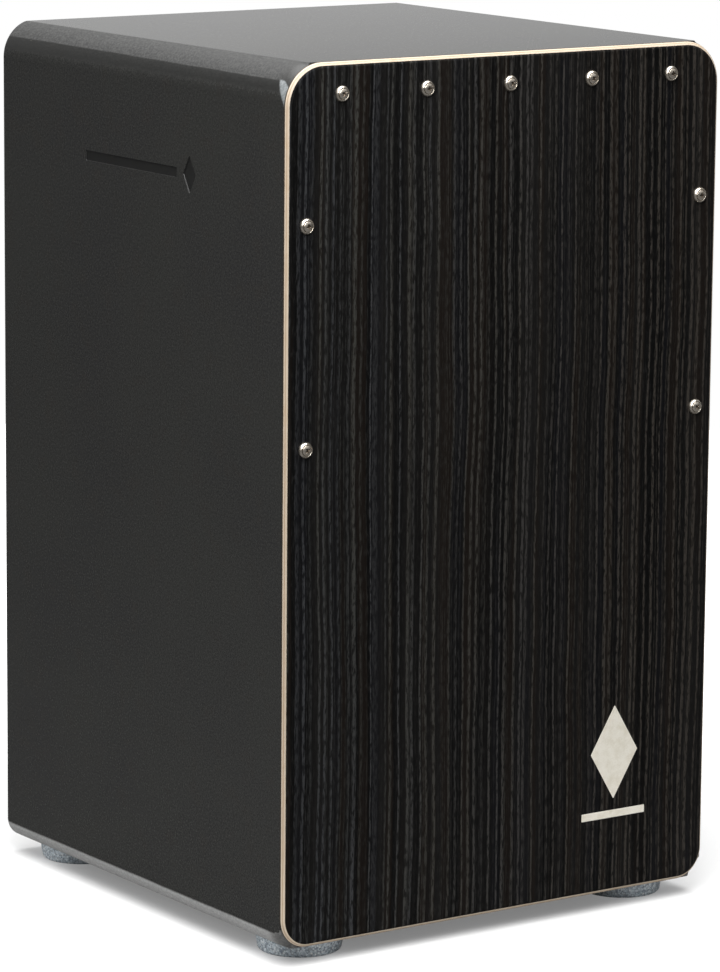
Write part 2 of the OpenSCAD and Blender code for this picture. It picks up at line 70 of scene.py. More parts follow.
# Planes of the box, read from the frame
LEFT_LO, LEFT_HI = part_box("left_side")
BACK_LO, BACK_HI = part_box("back_panel")
VENEER_LO, VENEER_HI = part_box("tapa_veneer")
HALF_W = -LEFT_LO.x
IN_W = -LEFT_HI.x
Z_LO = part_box("bottom_panel")[0].z
Z_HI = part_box("seat_panel")[1].z
WALL = HALF_W - IN_W
Z_MID = (Z_LO + Z_HI) / 2
HALF_H = (Z_HI - Z_LO) / 2
Y_FACE = VENEER_LO.y
Y_BOX = LEFT_LO.y
Y_BACK = LEFT_HI.y
BACK_T = BACK_HI.y - BACK_LO.y
LIP = BACK_LO.x + HALF_W
VENEER_T = VENEER_HI.y - VENEER_LO.y

# Roundings of the box. TOP and LOW choose between its upper and its lower corners.
TOP = 1
LOW = -1
EDGE_R = {TOP: 22 * MM, LOW: 12 * MM}
EDGE_CUT = 1 * MM
FRONT_BREAK = 0.35 * MM
FACET_IN = {TOP: 2.1 * MM, LOW: 3.0 * MM}
FACET_BACK = 5.2 * MM
FACET_STEPS = 5
REAR_ROUND = 3 * MM
LIP_BREAK = 0.3 * MM
CREASE_BLEND = 1.5 * MM
ARC_STEPS = 14

# The painted highlight beside each upper corner of the front
PATCH_TOP = 9.5 * MM
PATCH_DROP = 13.5 * MM
PATCH_DEPTH = 9 * MM

# The front board
TAPA_R = {TOP: 24 * MM, LOW: 18 * MM}
RIM_W = 3.2 * MM
RIM_D = 2.6 * MM
RIM_BULGE = 0.22
RIM_STEPS = 10
CLEAR_R = 2 * MM
CLEAR_STEPS = 24

# The sound hole
HOLE_R = 57.5 * MM
HOLE_Z = 325 * MM
HOLE_ROUND = 2 * MM
HOLE_STEPS = 128

# The recess for the adjusting bolt, under the bottom board
RECESS_R = 7 * MM
RECESS_DEEP = 5.6 * MM
RECESS_SOFT = 0.4 * MM
RECESS_STEPS = 48
BOLT_HOLE_R = 3.3 * MM

# The marks pressed into the left side
PRESS_Y = Y_BOX + 95 * MM
PRESS_Z = Z_HI - 70 * MM
PRESS_H = 22 * MM
PRESS_W = 0.6 * PRESS_H
PRESS_LEN = 98 * MM
PRESS_BAR_H = 6 * MM
PRESS_DEPTH = 0.6 * MM
PRESS_SOFT = 0.25 * MM
PRESS_CORNER = 0.7 * MM


# Mesh making -------------------------------------------------------------------------------------

def new_object(name, data):
    made = bpy.data.objects.new(name, data)
    bpy.context.scene.collection.objects.link(made)
    return made


def mesh_of(name, points, faces):
    """A smooth mesh whose faces all look outwards."""
    made = bpy.data.meshes.new(name)
    made.from_pydata(points, [], faces)
    work = bmesh.new()
    work.from_mesh(made)
    bmesh.ops.recalc_face_normals(work, faces=work.faces)
    work.to_mesh(made)
    work.free()
    made.shade_smooth()
    return made


class Form:
    """A mesh made face by face. Equal points are merged. A face corner may have its own normal."""

    def __init__(self):
        self.points = []
        self.places = {}
        self.faces = []
        self.normals = {}

    def index(self, point):
        key = tuple(round(c * 1e7) for c in point)
        if key not in self.places:
            self.places[key] = len(self.points)
            self.points.append(Vector(point))
        return self.places[key]

    def face(self, corners, normals=None):
        """Adds a face. Without normals it is shaded flat."""
        kept = []
        for number, corner in enumerate(corners):
            place = self.index(corner)
            if place not in [k for k, _ in kept]:
                kept.append((place, normals[number] if normals else None))
        if len(kept) < 3:
            return
        for place, normal in kept:
            if normal is not None:
                self.normals[(len(self.faces), place)] = normal
        self.faces.append([place for place, _ in kept])

    def strip(self, row_a, row_b, closed=False, flat=False):
        """Joins two rows of (point, normal) with quads."""
        count = len(row_a)
        for i in range(count if closed else count - 1):
            j = (i + 1) % count
            corners = [row_a[i], row_a[j], row_b[j], row_b[i]]
            self.face([c[0] for c in corners], None if flat else [c[1] for c in corners])

    def surface(self, rows, closed=False):
        for row_a, row_b in zip(rows, rows[1:]):
            self.strip(row_a, row_b, closed)

    def tube(self, rings):
        """Joins rings of points with flat quads."""
        for ring_a, ring_b in zip(rings, rings[1:]):
            self.strip([(p, None) for p in ring_a], [(p, None) for p in ring_b], closed=True, flat=True)

    def plate(self, outline, holes=()):
        """Fills a flat outline that has holes."""
        loops = [list(outline)] + [list(h) for h in holes]
        points = [p for loop in loops for p in loop]
        for triangle in tessellate_polygon(loops):
            self.face([points[i] for i in triangle])

    def mesh(self, name):
        made = mesh_of(name, self.points, self.faces)
        corner_normals = [
            self.normals.get((p.index, v)) or p.normal
            for p in made.polygons for v in p.vertices
        ]
        made.normals_split_custom_set(corner_normals)
        return made


def show(name, mesh, body, material, nodes):
    """Makes a mesh a piece of the object that stands for CAD nodes."""
    piece = new_object(name, mesh)
    piece.data.materials.clear()
    piece.data.materials.append(material)
    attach(piece, body)
    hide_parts(*nodes)
    return piece


def arc(centre, radius, start, end, steps):
    """Points of an arc in a plane, as (u, v, normal u, normal v). Angles are in degrees."""
    made = []
    for i in range(steps + 1):
        angle = math.radians(start + (end - start) * i / steps)
        c = math.cos(angle)
        s = math.sin(angle)
        made.append((centre[0] + radius * c, centre[1] + radius * s, c, s))
    return made


def edge_round(centre, radius, start, end, steps):
    """An arc as (inset, y, normal outward, normal y)."""
    return [(u, v, -nu, nv) for u, v, nu, nv in arc(centre, radius, start, end, steps)]


def circle(radius, steps):
    """Points of a circle in a plane."""
    angles = [2 * math.pi * i / steps for i in range(steps)]
    return [(radius * math.cos(angle), radius * math.sin(angle)) for angle in angles]


def curve(points):
    """Adds normals to the points of a smooth plane curve: they point to the right of its direction."""
    made = []
    for i, (u, v) in enumerate(points):
        before = points[max(i - 1, 0)]
        after = points[min(i + 1, len(points) - 1)]
        along = Vector((after[0] - before[0], after[1] - before[1])).normalized()
        made.append((u, v, along.y, -along.x))
    return made


def bezier(start, control, end, steps):
    made = []
    for i in range(steps + 1):
        t = i / steps
        made.append(tuple(
            a * (1 - t) ** 2 + 2 * b * t * (1 - t) + c * t * t for a, b, c in zip(start, control, end)
        ))
    return made


def turn(form, runs, place, steps=64):
    """Turns runs of (radius, height, normal r, normal h) about a placed Z axis.

    Runs meet in sharp edges.
    """
    turned = place.to_3x3()
    for run in runs:
        rows = []
        for r, h, nr, nh in run:
            spots = [place @ Vector((u, v, h)) for u, v in circle(r, steps)]
            normals = [(turned @ Vector((u, v, nh))).normalized() for u, v in circle(nr, steps)]
            rows.append(list(zip(spots, normals)))
        form.surface(rows, closed=True)


def disc(form, radius, height, place, steps=64):
    """Closes a turned form with a flat disc."""
    form.face([place @ Vector((u, v, height)) for u, v in circle(radius, steps)])


def cad_mesh(node):
    """A CAD node's mesh, with its points joined, to work on."""
    work = bmesh.new()
    work.from_mesh(frame["nodes"][node].data)
    bmesh.ops.remove_doubles(work, verts=work.verts, dist=1e-6)
    return work


def islands(node):
    """The separate solids of a CAD node, each as the list of its points."""
    work = cad_mesh(node)
    left = set(work.verts)
    found = []
    while left:
        seed = left.pop()
        group = [seed]
        queue = [seed]
        while queue:
            for edge in queue.pop().link_edges:
                for vert in edge.verts:
                    if vert in left:
                        left.discard(vert)
                        group.append(vert)
                        queue.append(vert)
        found.append([v.co.copy() for v in group])
    work.free()
    return sorted(found, key=lambda points: tuple(round(c, 4) for c in middle(points)))


def limits(points):
    lo = Vector(min(p[i] for p in points) for i in range(3))
    hi = Vector(max(p[i] for p in points) for i in range(3))
    return lo, hi


def middle(points):
    lo, hi = limits(points)
    return (lo + hi) / 2


def rounded(node, name, material, width=0.4 * MM, segments=2):
    """Stands for a CAD node with the same shape, its sharp edges rounded."""
    mesh = bpy.data.meshes.new(name)
    work = cad_mesh(node)
    bmesh.ops.dissolve_limit(work, angle_limit=math.radians(0.5), verts=work.verts, edges=work.edges)
    sharp = [e for e in work.edges if len(e.link_faces) == 2 and e.calc_face_angle() > math.radians(35)]
    bmesh.ops.bevel(
        work, geom=sharp, offset=width, offset_type="OFFSET", segments=segments,
        profile=0.6, affect="EDGES", clamp_overlap=True,
    )
    work.to_mesh(mesh)
    work.free()
    piece = show(name, mesh, frame["nodes"][node]["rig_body"], material, [node])
    piece.data.shade_smooth()
    piece.data.set_sharp_from_angle(angle=math.radians(32))
    piece.modifiers.new("even_normals", "WEIGHTED_NORMAL").keep_sharp = True
    return piece


# Materials ---------------------------------------------------------------------------------------

class Value:
    """An output of a shader node. Arithmetic on it adds math nodes to its tree."""

    def __init__(self, socket):
        self.socket = socket
        self.tree = socket.id_data

    def output(self, label):
        """Another output of the same node."""
        return Value(self.socket.node.outputs[label])

    def __add__(self, other):
        return calc("ADD", self, other)

    def __sub__(self, other):
        return calc("SUBTRACT", self, other)

    def __rsub__(self, other):
        return calc("SUBTRACT", other, self)

    def __mul__(self, other):
        return calc("MULTIPLY", self, other)

    def __truediv__(self, other):
        return calc("DIVIDE", self, other)

    def __lt__(self, other):
        return calc("LESS_THAN", self, other)

    def __gt__(self, other):
        return calc("GREATER_THAN", self, other)

    def __abs__(self):
        return calc("ABSOLUTE", self)

    __radd__ = __add__
    __rmul__ = __mul__


def add(kind, inputs=None, tree=None, **settings):
    """Adds a shader node and gives its first output. Inputs are numbers, colours or Values."""
    inputs = inputs or {}
    if tree is None:
        tree = next(value.tree for value in inputs.values() if isinstance(value, Value))
    made = tree.nodes.new(kind)
    for name, value in settings.items():
        setattr(made, name, value)
    for name, value in inputs.items():
        if isinstance(value, Value):
            tree.links.new(value.socket, made.inputs[name])
        else:
            made.inputs[name].default_value = value
    return Value(made.outputs[0])


def calc(operation, a, b=0.0, c=0.0):
    return add("ShaderNodeMath", {0: a, 1: b, 2: c}, operation=operation)


def tint(factor, a, b, kind="MIX"):
    """Mixes two colours."""
    mixed = add("ShaderNodeMix", {0: factor, 6: a, 7: b}, data_type="RGBA", blend_type=kind)
    return mixed.output(2)


def shade(colour, by):
    """One fixed colour times another."""
    return tuple(a * b for a, b in zip(colour, by))


def split(value, kind="XYZ"):
    """The three parts of a vector, or of a colour."""
    parts = add(f"ShaderNodeSeparate{kind}", {0: value})
    return [parts.output(number) for number in range(3)]


def rgb(r, g, b):
    return (r, g, b, 1.0)


def grey(value):
    return (value, value, value, 1.0)


def step(value, low, high, to_low=0.0, to_high=1.0):
    """A smooth step of value from low to high."""
    inputs = {"Value": value, "From Min": low, "From Max": high, "To Min": to_low, "To Max": to_high}
    return add("ShaderNodeMapRange", inputs, interpolation_type="SMOOTHSTEP")


def cover(base, value, low, high, amount, colour):
    """Lays up to amount of a colour over the base where value rises from low to high."""
    return tint(step(value, low, high, 0.0, amount), base, colour)


def ramp(value, stops):
    """A colour for each value, through a list of (value, colour)."""
    made = add("ShaderNodeValToRGB", {0: value})
    elements = made.socket.node.color_ramp.elements
    while len(elements) < len(stops):
        elements.new(0.5)
    for element, (position, colour) in zip(elements, stops):
        element.position = position
        element.color = colour
    return made


def stretch(point, x, y, z, shift=0.0):
    """The point with each axis scaled, and moved by shift to give another stretch of the same noise."""
    scaled = add("ShaderNodeVectorMath", {0: point, 1: (x, y, z)}, operation="MULTIPLY")
    return add("ShaderNodeVectorMath", {0: scaled, 1: (shift, shift, shift)}, operation="ADD")


def noise(vector, scale=1.0, detail=2.0, roughness=0.5):
    inputs = {"Vector": vector, "Scale": scale, "Detail": detail, "Roughness": roughness}
    return add("ShaderNodeTexNoise", inputs)


def new_material(name, **constants):
    """A material, its Principled shader and the point on the object in metres.

    Values that are the same all over are set on the shader's sockets.
    """
    made = bpy.data.materials.new(name)
    made.use_nodes = True
    shader = made.node_tree.nodes["Principled BSDF"]
    for label, value in constants.items():
        shader.inputs[label.replace("_", " ")].default_value = value
    return made, shader, add("ShaderNodeTexCoord", tree=made.node_tree).output("Object")


def use(shader, **values):
    """Links values to the shader's inputs."""
    for label, value in values.items():
        shader.id_data.links.new(value.socket, shader.inputs[label.replace("_", " ")])


def finish(shader, base, rough, height, distance, strength):
    """Links the colour, the roughness and a bump of this height, in metres, and strength."""
    bump = add("ShaderNodeBump", {"Height": height, "Distance": distance, "Strength": strength})
    use(shader, Base_Color=base, Roughness=rough, Normal=bump)


def specks(point, per_metre, share, radius):
    """Sparse dots: 1 on a dot and 0 elsewhere. share is the part of the cells that hold a dot."""
    cells = add("ShaderNodeTexVoronoi", {"Vector": point, "Scale": per_metre})
    chance, size, _ = split(cells.output("Color"), "Color")
    return (cells < (size + 0.35) * (radius * per_metre)) * (chance < share)


def routed_edges(point):
    """The long edges' rounding: 1 where it has cut into the core, 1 in the upper half, 1 where dull and
    painted darker.

    The border is a little uneven. Where the finish still covers a rounded upper edge it is rougher, and
    darkened there as painted shade.
    """
    px, py, pz = split(point)
    inset = HALF_W - abs(px)
    off_middle = pz - Z_MID
    below = HALF_H - abs(off_middle)
    upper = off_middle > 0.0
    from_front = py - Y_BOX
    uneven = noise(stretch(point, 30, 30, 30), 1, 2)
    rise = from_front * 0.0035 + 2.8 * MM
    rise = rise * (uneven * 0.16 + 0.92)
    low = uneven * (0.11 * MM) + 0.165 * MM
    low = low * step(from_front, 3.5 * MM, 7 * MM, 0.18, 1.0)
    border = rise * upper + low
    soft = upper * -0.59 + 0.65
    past = inset / border - 1.0
    sides = step(past / soft, -1.0, 1.0)
    ends = step(below, 0.03 * MM, 0.30 * MM)
    radius = upper * (EDGE_R[TOP] - EDGE_R[LOW]) + EDGE_R[LOW]
    across = radius - inset
    along = radius - below
    reach = calc("SQRT", across * across + along * along)
    skin = reach - radius > -3.7 * MM
    in_corner = calc("MAXIMUM", inset, below) < radius
    off_rear = step(py, Y_BACK - 0.5 * MM, Y_BACK - 2.5 * MM)
    near = skin * in_corner * off_rear
    # Painted shade: the band fades out towards the front end, darker beside the front board
    to_front = step(from_front, 2 * MM, 15 * MM, 0.3, 1.0)
    mask = sides * ends * near
    mask = mask * to_front
    turned = near * upper * step(inset, 0.0, 1.2 * MM)
    # Painted shade: where the finish still covers the upper rounding it is darkened, and also made
    # rougher
    dull = turned * ends * (1.0 - mask)
    return mask, upper, dull


def facet_highlight_patch(point):
    """1 on the pale triangle beside each upper front corner, where the facet runs out to a point: a
    painted highlight.
    """
    px, py, pz = split(point)
    inset = HALF_W - abs(px)
    below = Z_MID + HALF_H - pz
    from_front = py - Y_BOX
    down = (below - PATCH_TOP) / PATCH_DROP
    reach = from_front * (1 / PATCH_DEPTH) + down
    made = step(reach, 1.08, 0.84) * step(down, -0.05, 0.06)
    return made * step(inset, 3.8 * MM, 3.2 * MM)


def black_board(name, roughness, tone=1.0, routed=False):
    """Through-dyed fibreboard: near black, with fibres and pale flecks. Routed edges are greyer; the
    lower ones are made far paler than the upper ones as painted light.
    """
    made, shader, point = new_material(name, Specular_IOR_Level=0.5)
    def toned(r, g, b):
        return rgb(r * tone, g * tone, b * tone)

    cloud = noise(point, 12, 2)
    grain = noise(point, 800, 2, 0.6)
    warm = noise(point, 75, 2)
    base = tint(step(cloud, 0.3, 0.7), toned(0.022, 0.022, 0.022), toned(0.026, 0.0265, 0.0245))
    base = cover(base, warm, 0.5, 0.75, 0.5, toned(0.027, 0.024, 0.021))
    base = cover(base, grain, 0.35, 0.7, 0.8, toned(0.044, 0.044, 0.0415))
    flecks = specks(point, 150, 0.22, 0.32 * MM)
    dust = specks(stretch(point, 1, 1, 1, 3.7), 420, 0.22, 0.11 * MM)
    base = tint(flecks * 0.6, base, rgb(0.22, 0.22, 0.18))
    base = tint(dust * 0.45, base, rgb(0.17, 0.17, 0.15))
    rough = step(grain, 0.3, 0.8, -0.03, 0.05) + roughness
    if routed:
        edges, upper, dull = routed_edges(point)
        fibres = step(grain, 0.3, 0.75)
        # The routed core is greyer than the board. The lower rounding's core is made far paler than the
        # upper one: painted light standing in for light from the floor.
        core_low_painted_light = tint(fibres, grey(0.30), rgb(0.45, 0.45, 0.44))
        core_top = tint(fibres, grey(0.028), rgb(0.066, 0.066, 0.064))
        base = tint(edges, base, tint(upper, core_low_painted_light, core_top))
        rough = edges * (upper * 0.22 + 0.28) + rough
        # Painted shade: darkens the finish over the upper rounding; the next line also makes it rougher
        base = tint(dull, base, grey(0.55), "MULTIPLY")
        rough = dull * 0.1 + rough
        # Painted highlight: a pale triangle beside each upper front corner, where the facet catches the
        # light
        highlight_patch = facet_highlight_patch(point)
        base = tint(highlight_patch, base, tint(fibres, rgb(0.17, 0.185, 0.19), rgb(0.28, 0.295, 0.30)))
    finish(shader, base, rough, grain, 0.04 * MM, 0.3)
    return made


def veneer_lines(x, per_metre, shift, thin, thick):
    """Upright lines, one in each cell across the board: how much line there is, and its chance."""
    cells = x * per_metre + shift
    drawn = add("ShaderNodeTexWhiteNoise", {"W": calc("FLOOR", cells)}, noise_dimensions="1D")
    place, width, chance = split(drawn.output("Color"), "Color")
    centre = place * 0.5 + 0.25
    half = (width * (thick - thin) + thin) * (per_metre / 2)
    away = abs(calc("FRACT", cells) - centre)
    return step(away / half, 1.55, 0.45), chance


def fineline_veneer():
    """Reconstituted veneer: near-black ground with slightly wavy grey lines, under a satin lacquer."""
    made, shader, point = new_material("fineline_veneer", Specular_IOR_Level=0.14)
    px, _, pz = split(point)
    sway = noise(stretch(point, 9, 0, 4.5), 1, 2)
    wobble = noise(stretch(point, 60, 0, 30, 5.1), 1, 1)
    x = sway * (10 * MM) + px
    x = wobble * (1.0 * MM) + x
    upright = add("ShaderNodeCombineXYZ", {0: x, 2: pz * 0.01})
    broad = noise(upright, 60, 1)
    hue = noise(stretch(upright, 1, 1, 1, 0.31), 120, 1)
    fine = noise(stretch(upright, 1, 1, 1, 0.57), 1500, 2)
    faded = noise(stretch(point, 40, 0, 10, 3.3), 1, 2)
    to_right = step(px, -HALF_W, HALF_W)
    base = tint(step(broad, 0.35, 0.65), grey(0.0016), rgb(0.0070, 0.0066, 0.0062))
    base = cover(base, hue, 0.52, 0.62, 0.7, rgb(0.0090, 0.0060, 0.0042))
    base = cover(base, hue, 0.44, 0.34, 0.5, rgb(0.0045, 0.0048, 0.0066))
    cool = tint(step(hue, 0.4, 0.6), rgb(0.045, 0.047, 0.050), rgb(0.047, 0.047, 0.042))
    bright = tint(to_right * 0.9, cool, rgb(0.048, 0.041, 0.034))
    fibres = noise(stretch(point, 900, 0, 170, 6.1), 1, 3, 0.7)
    grainy = step(fibres, 0.38, 0.60, 0.1, 1.45)
    minor, minor_chance = veneer_lines(x, 400, 0.37, 0.4 * MM, 0.9 * MM)
    minor_weight = minor * (minor_chance * 0.4)
    base = tint(minor_weight * grainy, base, bright)
    line, line_chance = veneer_lines(x, 200, 0.0, 0.9 * MM, 2.1 * MM)
    weight = line * step(line_chance, 0.0, 0.8, 0.3, 1.0)
    weight = weight * step(faded, 0.25, 0.6, 0.55, 1.0)
    base = tint(calc("MINIMUM", weight * grainy, 1.0), base, bright)
    base = cover(base, fine, 0.5, 0.75, 0.25, rgb(0.022, 0.021, 0.020))
    base = cover(base, fibres, 0.52, 0.68, 0.5, rgb(0.022, 0.021, 0.020))
    pores = noise(stretch(point, 3200, 3200, 130, 9.0), 1, 2)
    base = cover(base, pores, 0.6, 0.74, 0.5, grey(0.002))
    rough = step(fine, 0.3, 0.7, 0.44, 0.54)
    height = pores * -0.6 + fine * 0.5
    finish(shader, base, rough, height, 0.04 * MM, 0.4)
    return made


def ply_core():
    """Birch plies, told apart by their depth, with thin glue lines and a dark back layer."""
    made, shader, point = new_material("ply_core", Specular_IOR_Level=0.4)
    _, py, _ = split(point)
    ripple = noise(point, 45, 2)
    depth = py - Y_FACE
    depth = ripple * (0.12 * MM) + depth
    share = depth / (3.06 * MM)
    light = rgb(0.62, 0.515, 0.40)
    pale = rgb(0.66, 0.57, 0.46)
    tan = rgb(0.50, 0.375, 0.265)
    glue = rgb(0.33, 0.235, 0.155)
    brown = rgb(0.045, 0.035, 0.025)
    layers = ramp(share, [
        (0.00, brown), (0.175, brown), (0.195, light), (0.36, pale), (0.385, tan), (0.53, tan),
        (0.555, light), (0.72, pale), (0.745, glue), (0.765, brown), (1.0, brown),
    ])
    fibre = noise(stretch(point, 220, 2600, 220, 4.0), 1, 3, 0.6)
    blotch = noise(point, 90, 3)
    darker = tint(1.0, layers, rgb(0.72, 0.62, 0.48), "MULTIPLY")
    warmer = tint(1.0, layers, rgb(0.80, 0.68, 0.52), "MULTIPLY")
    base = tint(step(fibre, 0.35, 0.75, 0.0, 0.4), layers, darker)
    base = cover(base, blotch, 0.5, 0.8, 0.35, warmer)
    rough = step(fibre, 0.3, 0.8, 0.38, 0.55)
    finish(shader, base, rough, fibre, 0.05 * MM, 0.5)
    return made


def planed_wood(name, light, dark, along, rings):
    """Planed wood whose grain runs along one axis: growth rings, darker streaks and pores."""
    made, shader, point = new_material(name, Specular_IOR_Level=0.35)
    across = [1.0, 1.0, 1.0]
    across[along] = 0.05
    long_grain = stretch(point, *across)
    warp = noise(long_grain, 22, 2)
    wave = add(
        "ShaderNodeTexWave",
        {"Vector": long_grain, "Scale": rings, "Distortion": 9.0, "Detail": 2.0, "Detail Scale": 1.2},
        wave_type="RINGS", rings_direction="XYZ"[along],
    ).output("Fac")
    pores = noise(stretch(point, *[1500 if c == 1.0 else 40 for c in across]), 1, 2)
    base = tint(step(wave, 0.2, 0.95), light, dark)
    base = cover(base, warp, 0.45, 0.7, 0.4, dark)
    base = cover(base, pores, 0.58, 0.72, 0.45, shade(dark, grey(0.6)))
    rough = step(pores, 0.3, 0.8, 0.5, 0.68)
    finish(shader, base, rough, pores, 0.06 * MM, 0.5)
    return made


def granulate():
    """Bonded rubber crumb: blue-grey grains with darker and paler ones among them."""
    made, shader, point = new_material("foot_granulate", Specular_IOR_Level=0.35)
    bent = noise(point, 500, 2)
    cells = add("ShaderNodeTexVoronoi", {"Vector": point, "Scale": 900.0})
    shade_of, gloss_of, _ = split(cells.output("Color"), "Color")
    grains = ramp(shade_of, [
        (0.0, rgb(0.27, 0.325, 0.38)), (0.35, rgb(0.52, 0.60, 0.66)),
        (0.7, rgb(0.70, 0.77, 0.82)), (0.93, rgb(0.83, 0.88, 0.91)), (1.0, rgb(0.93, 0.95, 0.95)),
    ])
    gaps = step(cells, 0.5, 0.85, 0.0, 0.7)
    base = tint(gaps, grains, rgb(0.19, 0.215, 0.25))
    base = cover(base, bent, 0.4, 0.7, 0.3, rgb(0.47, 0.51, 0.54))
    rough = step(gloss_of, 0.0, 1.0, 0.6, 0.85)
    height = bent - cells
    finish(shader, base, rough, height, 0.25 * MM, 0.7)
    return made


def plated(name, colour, low, high, streak_axis=None):
    """Plated metal with faint clouding and hairlines."""
    made, shader, point = new_material(name, Metallic=1.0)
    scale = [700, 700, 700]
    if streak_axis is not None:
        scale[streak_axis] = 25
    hairs = noise(stretch(point, *scale), 1, 3)
    clouds = noise(point, 260, 3)
    dull = shade(colour, rgb(0.82, 0.80, 0.76))
    base = tint(step(clouds, 0.4, 0.7), colour, dull)
    rough = step(hairs, 0.3, 0.7, low, high) + step(clouds, 0.4, 0.7, 0.0, 0.06)
    finish(shader, base, rough, hairs, 0.01 * MM, 0.4)
    return made


def cream_film():
    """A thin cream film with a faint tooth and a few rubbed places."""
    made, shader, point = new_material("inlay_cream", Specular_IOR_Level=0.4)
    tooth = noise(point, 1800, 2)
    rubbed = noise(point, 160, 4, 0.65)
    base = tint(step(rubbed, 0.35, 0.75), rgb(0.90, 0.86, 0.76), rgb(0.78, 0.73, 0.61))
    base = cover(base, tooth, 0.5, 0.8, 0.4, rgb(0.66, 0.60, 0.48))
    rough = step(rubbed, 0.3, 0.8, 0.4, 0.6)
    finish(shader, base, rough, tooth, 0.02 * MM, 0.5)
    return made


def pressed_felt():
    """Dark wool felt: tangled fibres and a soft sheen."""
    made, shader, point = new_material("damper_felt", Sheen_Weight=0.5, Sheen_Roughness=0.5)
    fibres = noise(stretch(point, 900, 900, 300), 1, 4, 0.7)
    tufts = noise(point, 350, 3)
    base = tint(step(fibres, 0.3, 0.7), rgb(0.018, 0.018, 0.022), rgb(0.085, 0.085, 0.095))
    base = cover(base, tufts, 0.5, 0.8, 0.4, rgb(0.12, 0.12, 0.13))
    rough = step(fibres, 0.3, 0.7, 0.85, 1.0)
    finish(shader, base, rough, fibres, 0.3 * MM, 0.9)
    return made


MDF = black_board("mdf_black", 0.24, 0.94, routed=True)
MDF_PRESSED = black_board("mdf_pressed", 0.42, 0.35)
BACK_MDF = black_board("back_black", 0.36, 0.85)
VENEER = fineline_veneer()
PLY = ply_core()
CREAM = cream_film()
SOFTWOOD = (rgb(0.66, 0.47, 0.27), rgb(0.46, 0.27, 0.12))
BEECH = (rgb(0.56, 0.36, 0.21), rgb(0.42, 0.24, 0.13))
SOFTWOOD_X = planed_wood("batten_wood_x", *SOFTWOOD, 0, 75)
SOFTWOOD_Y = planed_wood("batten_wood_y", *SOFTWOOD, 1, 75)
SOFTWOOD_Z = planed_wood("batten_wood_z", *SOFTWOOD, 2, 75)
BEECH_X = planed_wood("slat_wood_x", *BEECH, 0, 130)
BEECH_Z = planed_wood("slat_wood_z", *BEECH, 2, 130)
RUBBER = granulate()
NICKEL = plated("nickel", rgb(0.94, 0.86, 0.75), 0.20, 0.27)
# Painted shade for the screws' cross recesses: a dark plated colour
NICKEL_PAINTED_SHADE = plated("nickel_painted_shade", rgb(0.16, 0.13, 0.10), 0.40, 0.55)
ZINC = plated("zinc_steel", rgb(0.66, 0.68, 0.70), 0.24, 0.40)
CLIP_STEEL = plated("clip_steel", rgb(0.74, 0.72, 0.69), 0.22, 0.34, 0)
SPRING = plated("snare_steel", rgb(0.70, 0.69, 0.67), 0.18, 0.30)
FELT = pressed_felt()


# The box -----------------------------------------------------------------------------------------

def mitre_angle(up):
    """Where a corner's arc meets the mitre, in degrees from the side's normal."""
    radius = EDGE_R[up]
    leg = (EDGE_CUT + math.sqrt(2 * radius ** 2 - EDGE_CUT ** 2)) / 2
    return math.degrees(math.atan2(leg - EDGE_CUT, leg))


def crease_angle(up):
    """Where a corner's arc would meet the seat or the underside."""
    return math.degrees(math.asin((EDGE_R[up] - EDGE_CUT) / EDGE_R[up]))


def arc_end(up):
    """Where a corner's arc stops and the softened crease begins."""
    return crease_angle(up) - math.degrees(CREASE_BLEND / EDGE_R[up])


def corner_arc(side, up, start, end):
    """Part of a corner's arc, from an angle above the side's plane to another, as (x, z, nx, nz)."""
    steps = max(2, round(abs(end - start) / 90 * 2 * ARC_STEPS))
    radius = EDGE_R[up]
    flat = arc((HALF_W - radius, HALF_H + EDGE_CUT - radius), radius, start, end, steps)
    return [(side * u, Z_MID + up * v, side * nu, up * nv) for u, v, nu, nv in flat]


def crease_blend(side, up):
    """Softens the line where a corner's arc meets the seat or the underside."""
    last = corner_arc(side, up, arc_end(up), arc_end(up))[0]
    ridge_x = side * (HALF_W - EDGE_R[up] + EDGE_R[up] * math.cos(math.radians(crease_angle(up))))
    ridge_z = Z_MID + up * HALF_H
    points = bezier(last[:2], (ridge_x, ridge_z), (ridge_x - side * CREASE_BLEND, ridge_z), 6)
    made = []
    for i, (x, z) in enumerate(points):
        share = i / (len(points) - 1)
        normal = Vector((last[2], last[3])).lerp(Vector((0, up)), share).normalized()
        made.append((x, z, normal.x, normal.y))
    return made[1:]


def side_path(side):
    return corner_arc(side, LOW, mitre_angle(LOW), 0) + corner_arc(side, TOP, 0, mitre_angle(TOP))


def cap_path(up):
    """The outline of the seat or the bottom, from the left mitre to the right one."""
    left = corner_arc(-1, up, mitre_angle(up), arc_end(up)) + crease_blend(-1, up)
    right = corner_arc(1, up, mitre_angle(up), arc_end(up)) + crease_blend(1, up)
    return left + right[::-1]


def section_rows(path, run):
    """Carries a path back along a run of (inset, y, normal outward, normal y)."""
    rows = []
    for inset, y, out, along in run:
        row = []
        for x, z, nx, nz in path:
            normal = Vector((nx * out, along, nz * out)).normalized()
            row.append((Vector((x - nx * inset, y, z - nz * inset)), normal))
        rows.append(row)
    return rows


def front_facet(nx, nz):
    """The front end's sanded edge, as (inset, depth, normals): it widens round the corners."""
    corner = min(1.0, 3.2 * abs(nx * nz))
    inset = FRONT_BREAK + corner * FACET_IN[TOP if nz > 0 else LOW]
    back = FRONT_BREAK + corner * FACET_BACK
    control = (0.15 * corner * inset, 0.7 * corner * back)
    return curve(bezier((inset, 0), control, (0, back), FACET_STEPS))


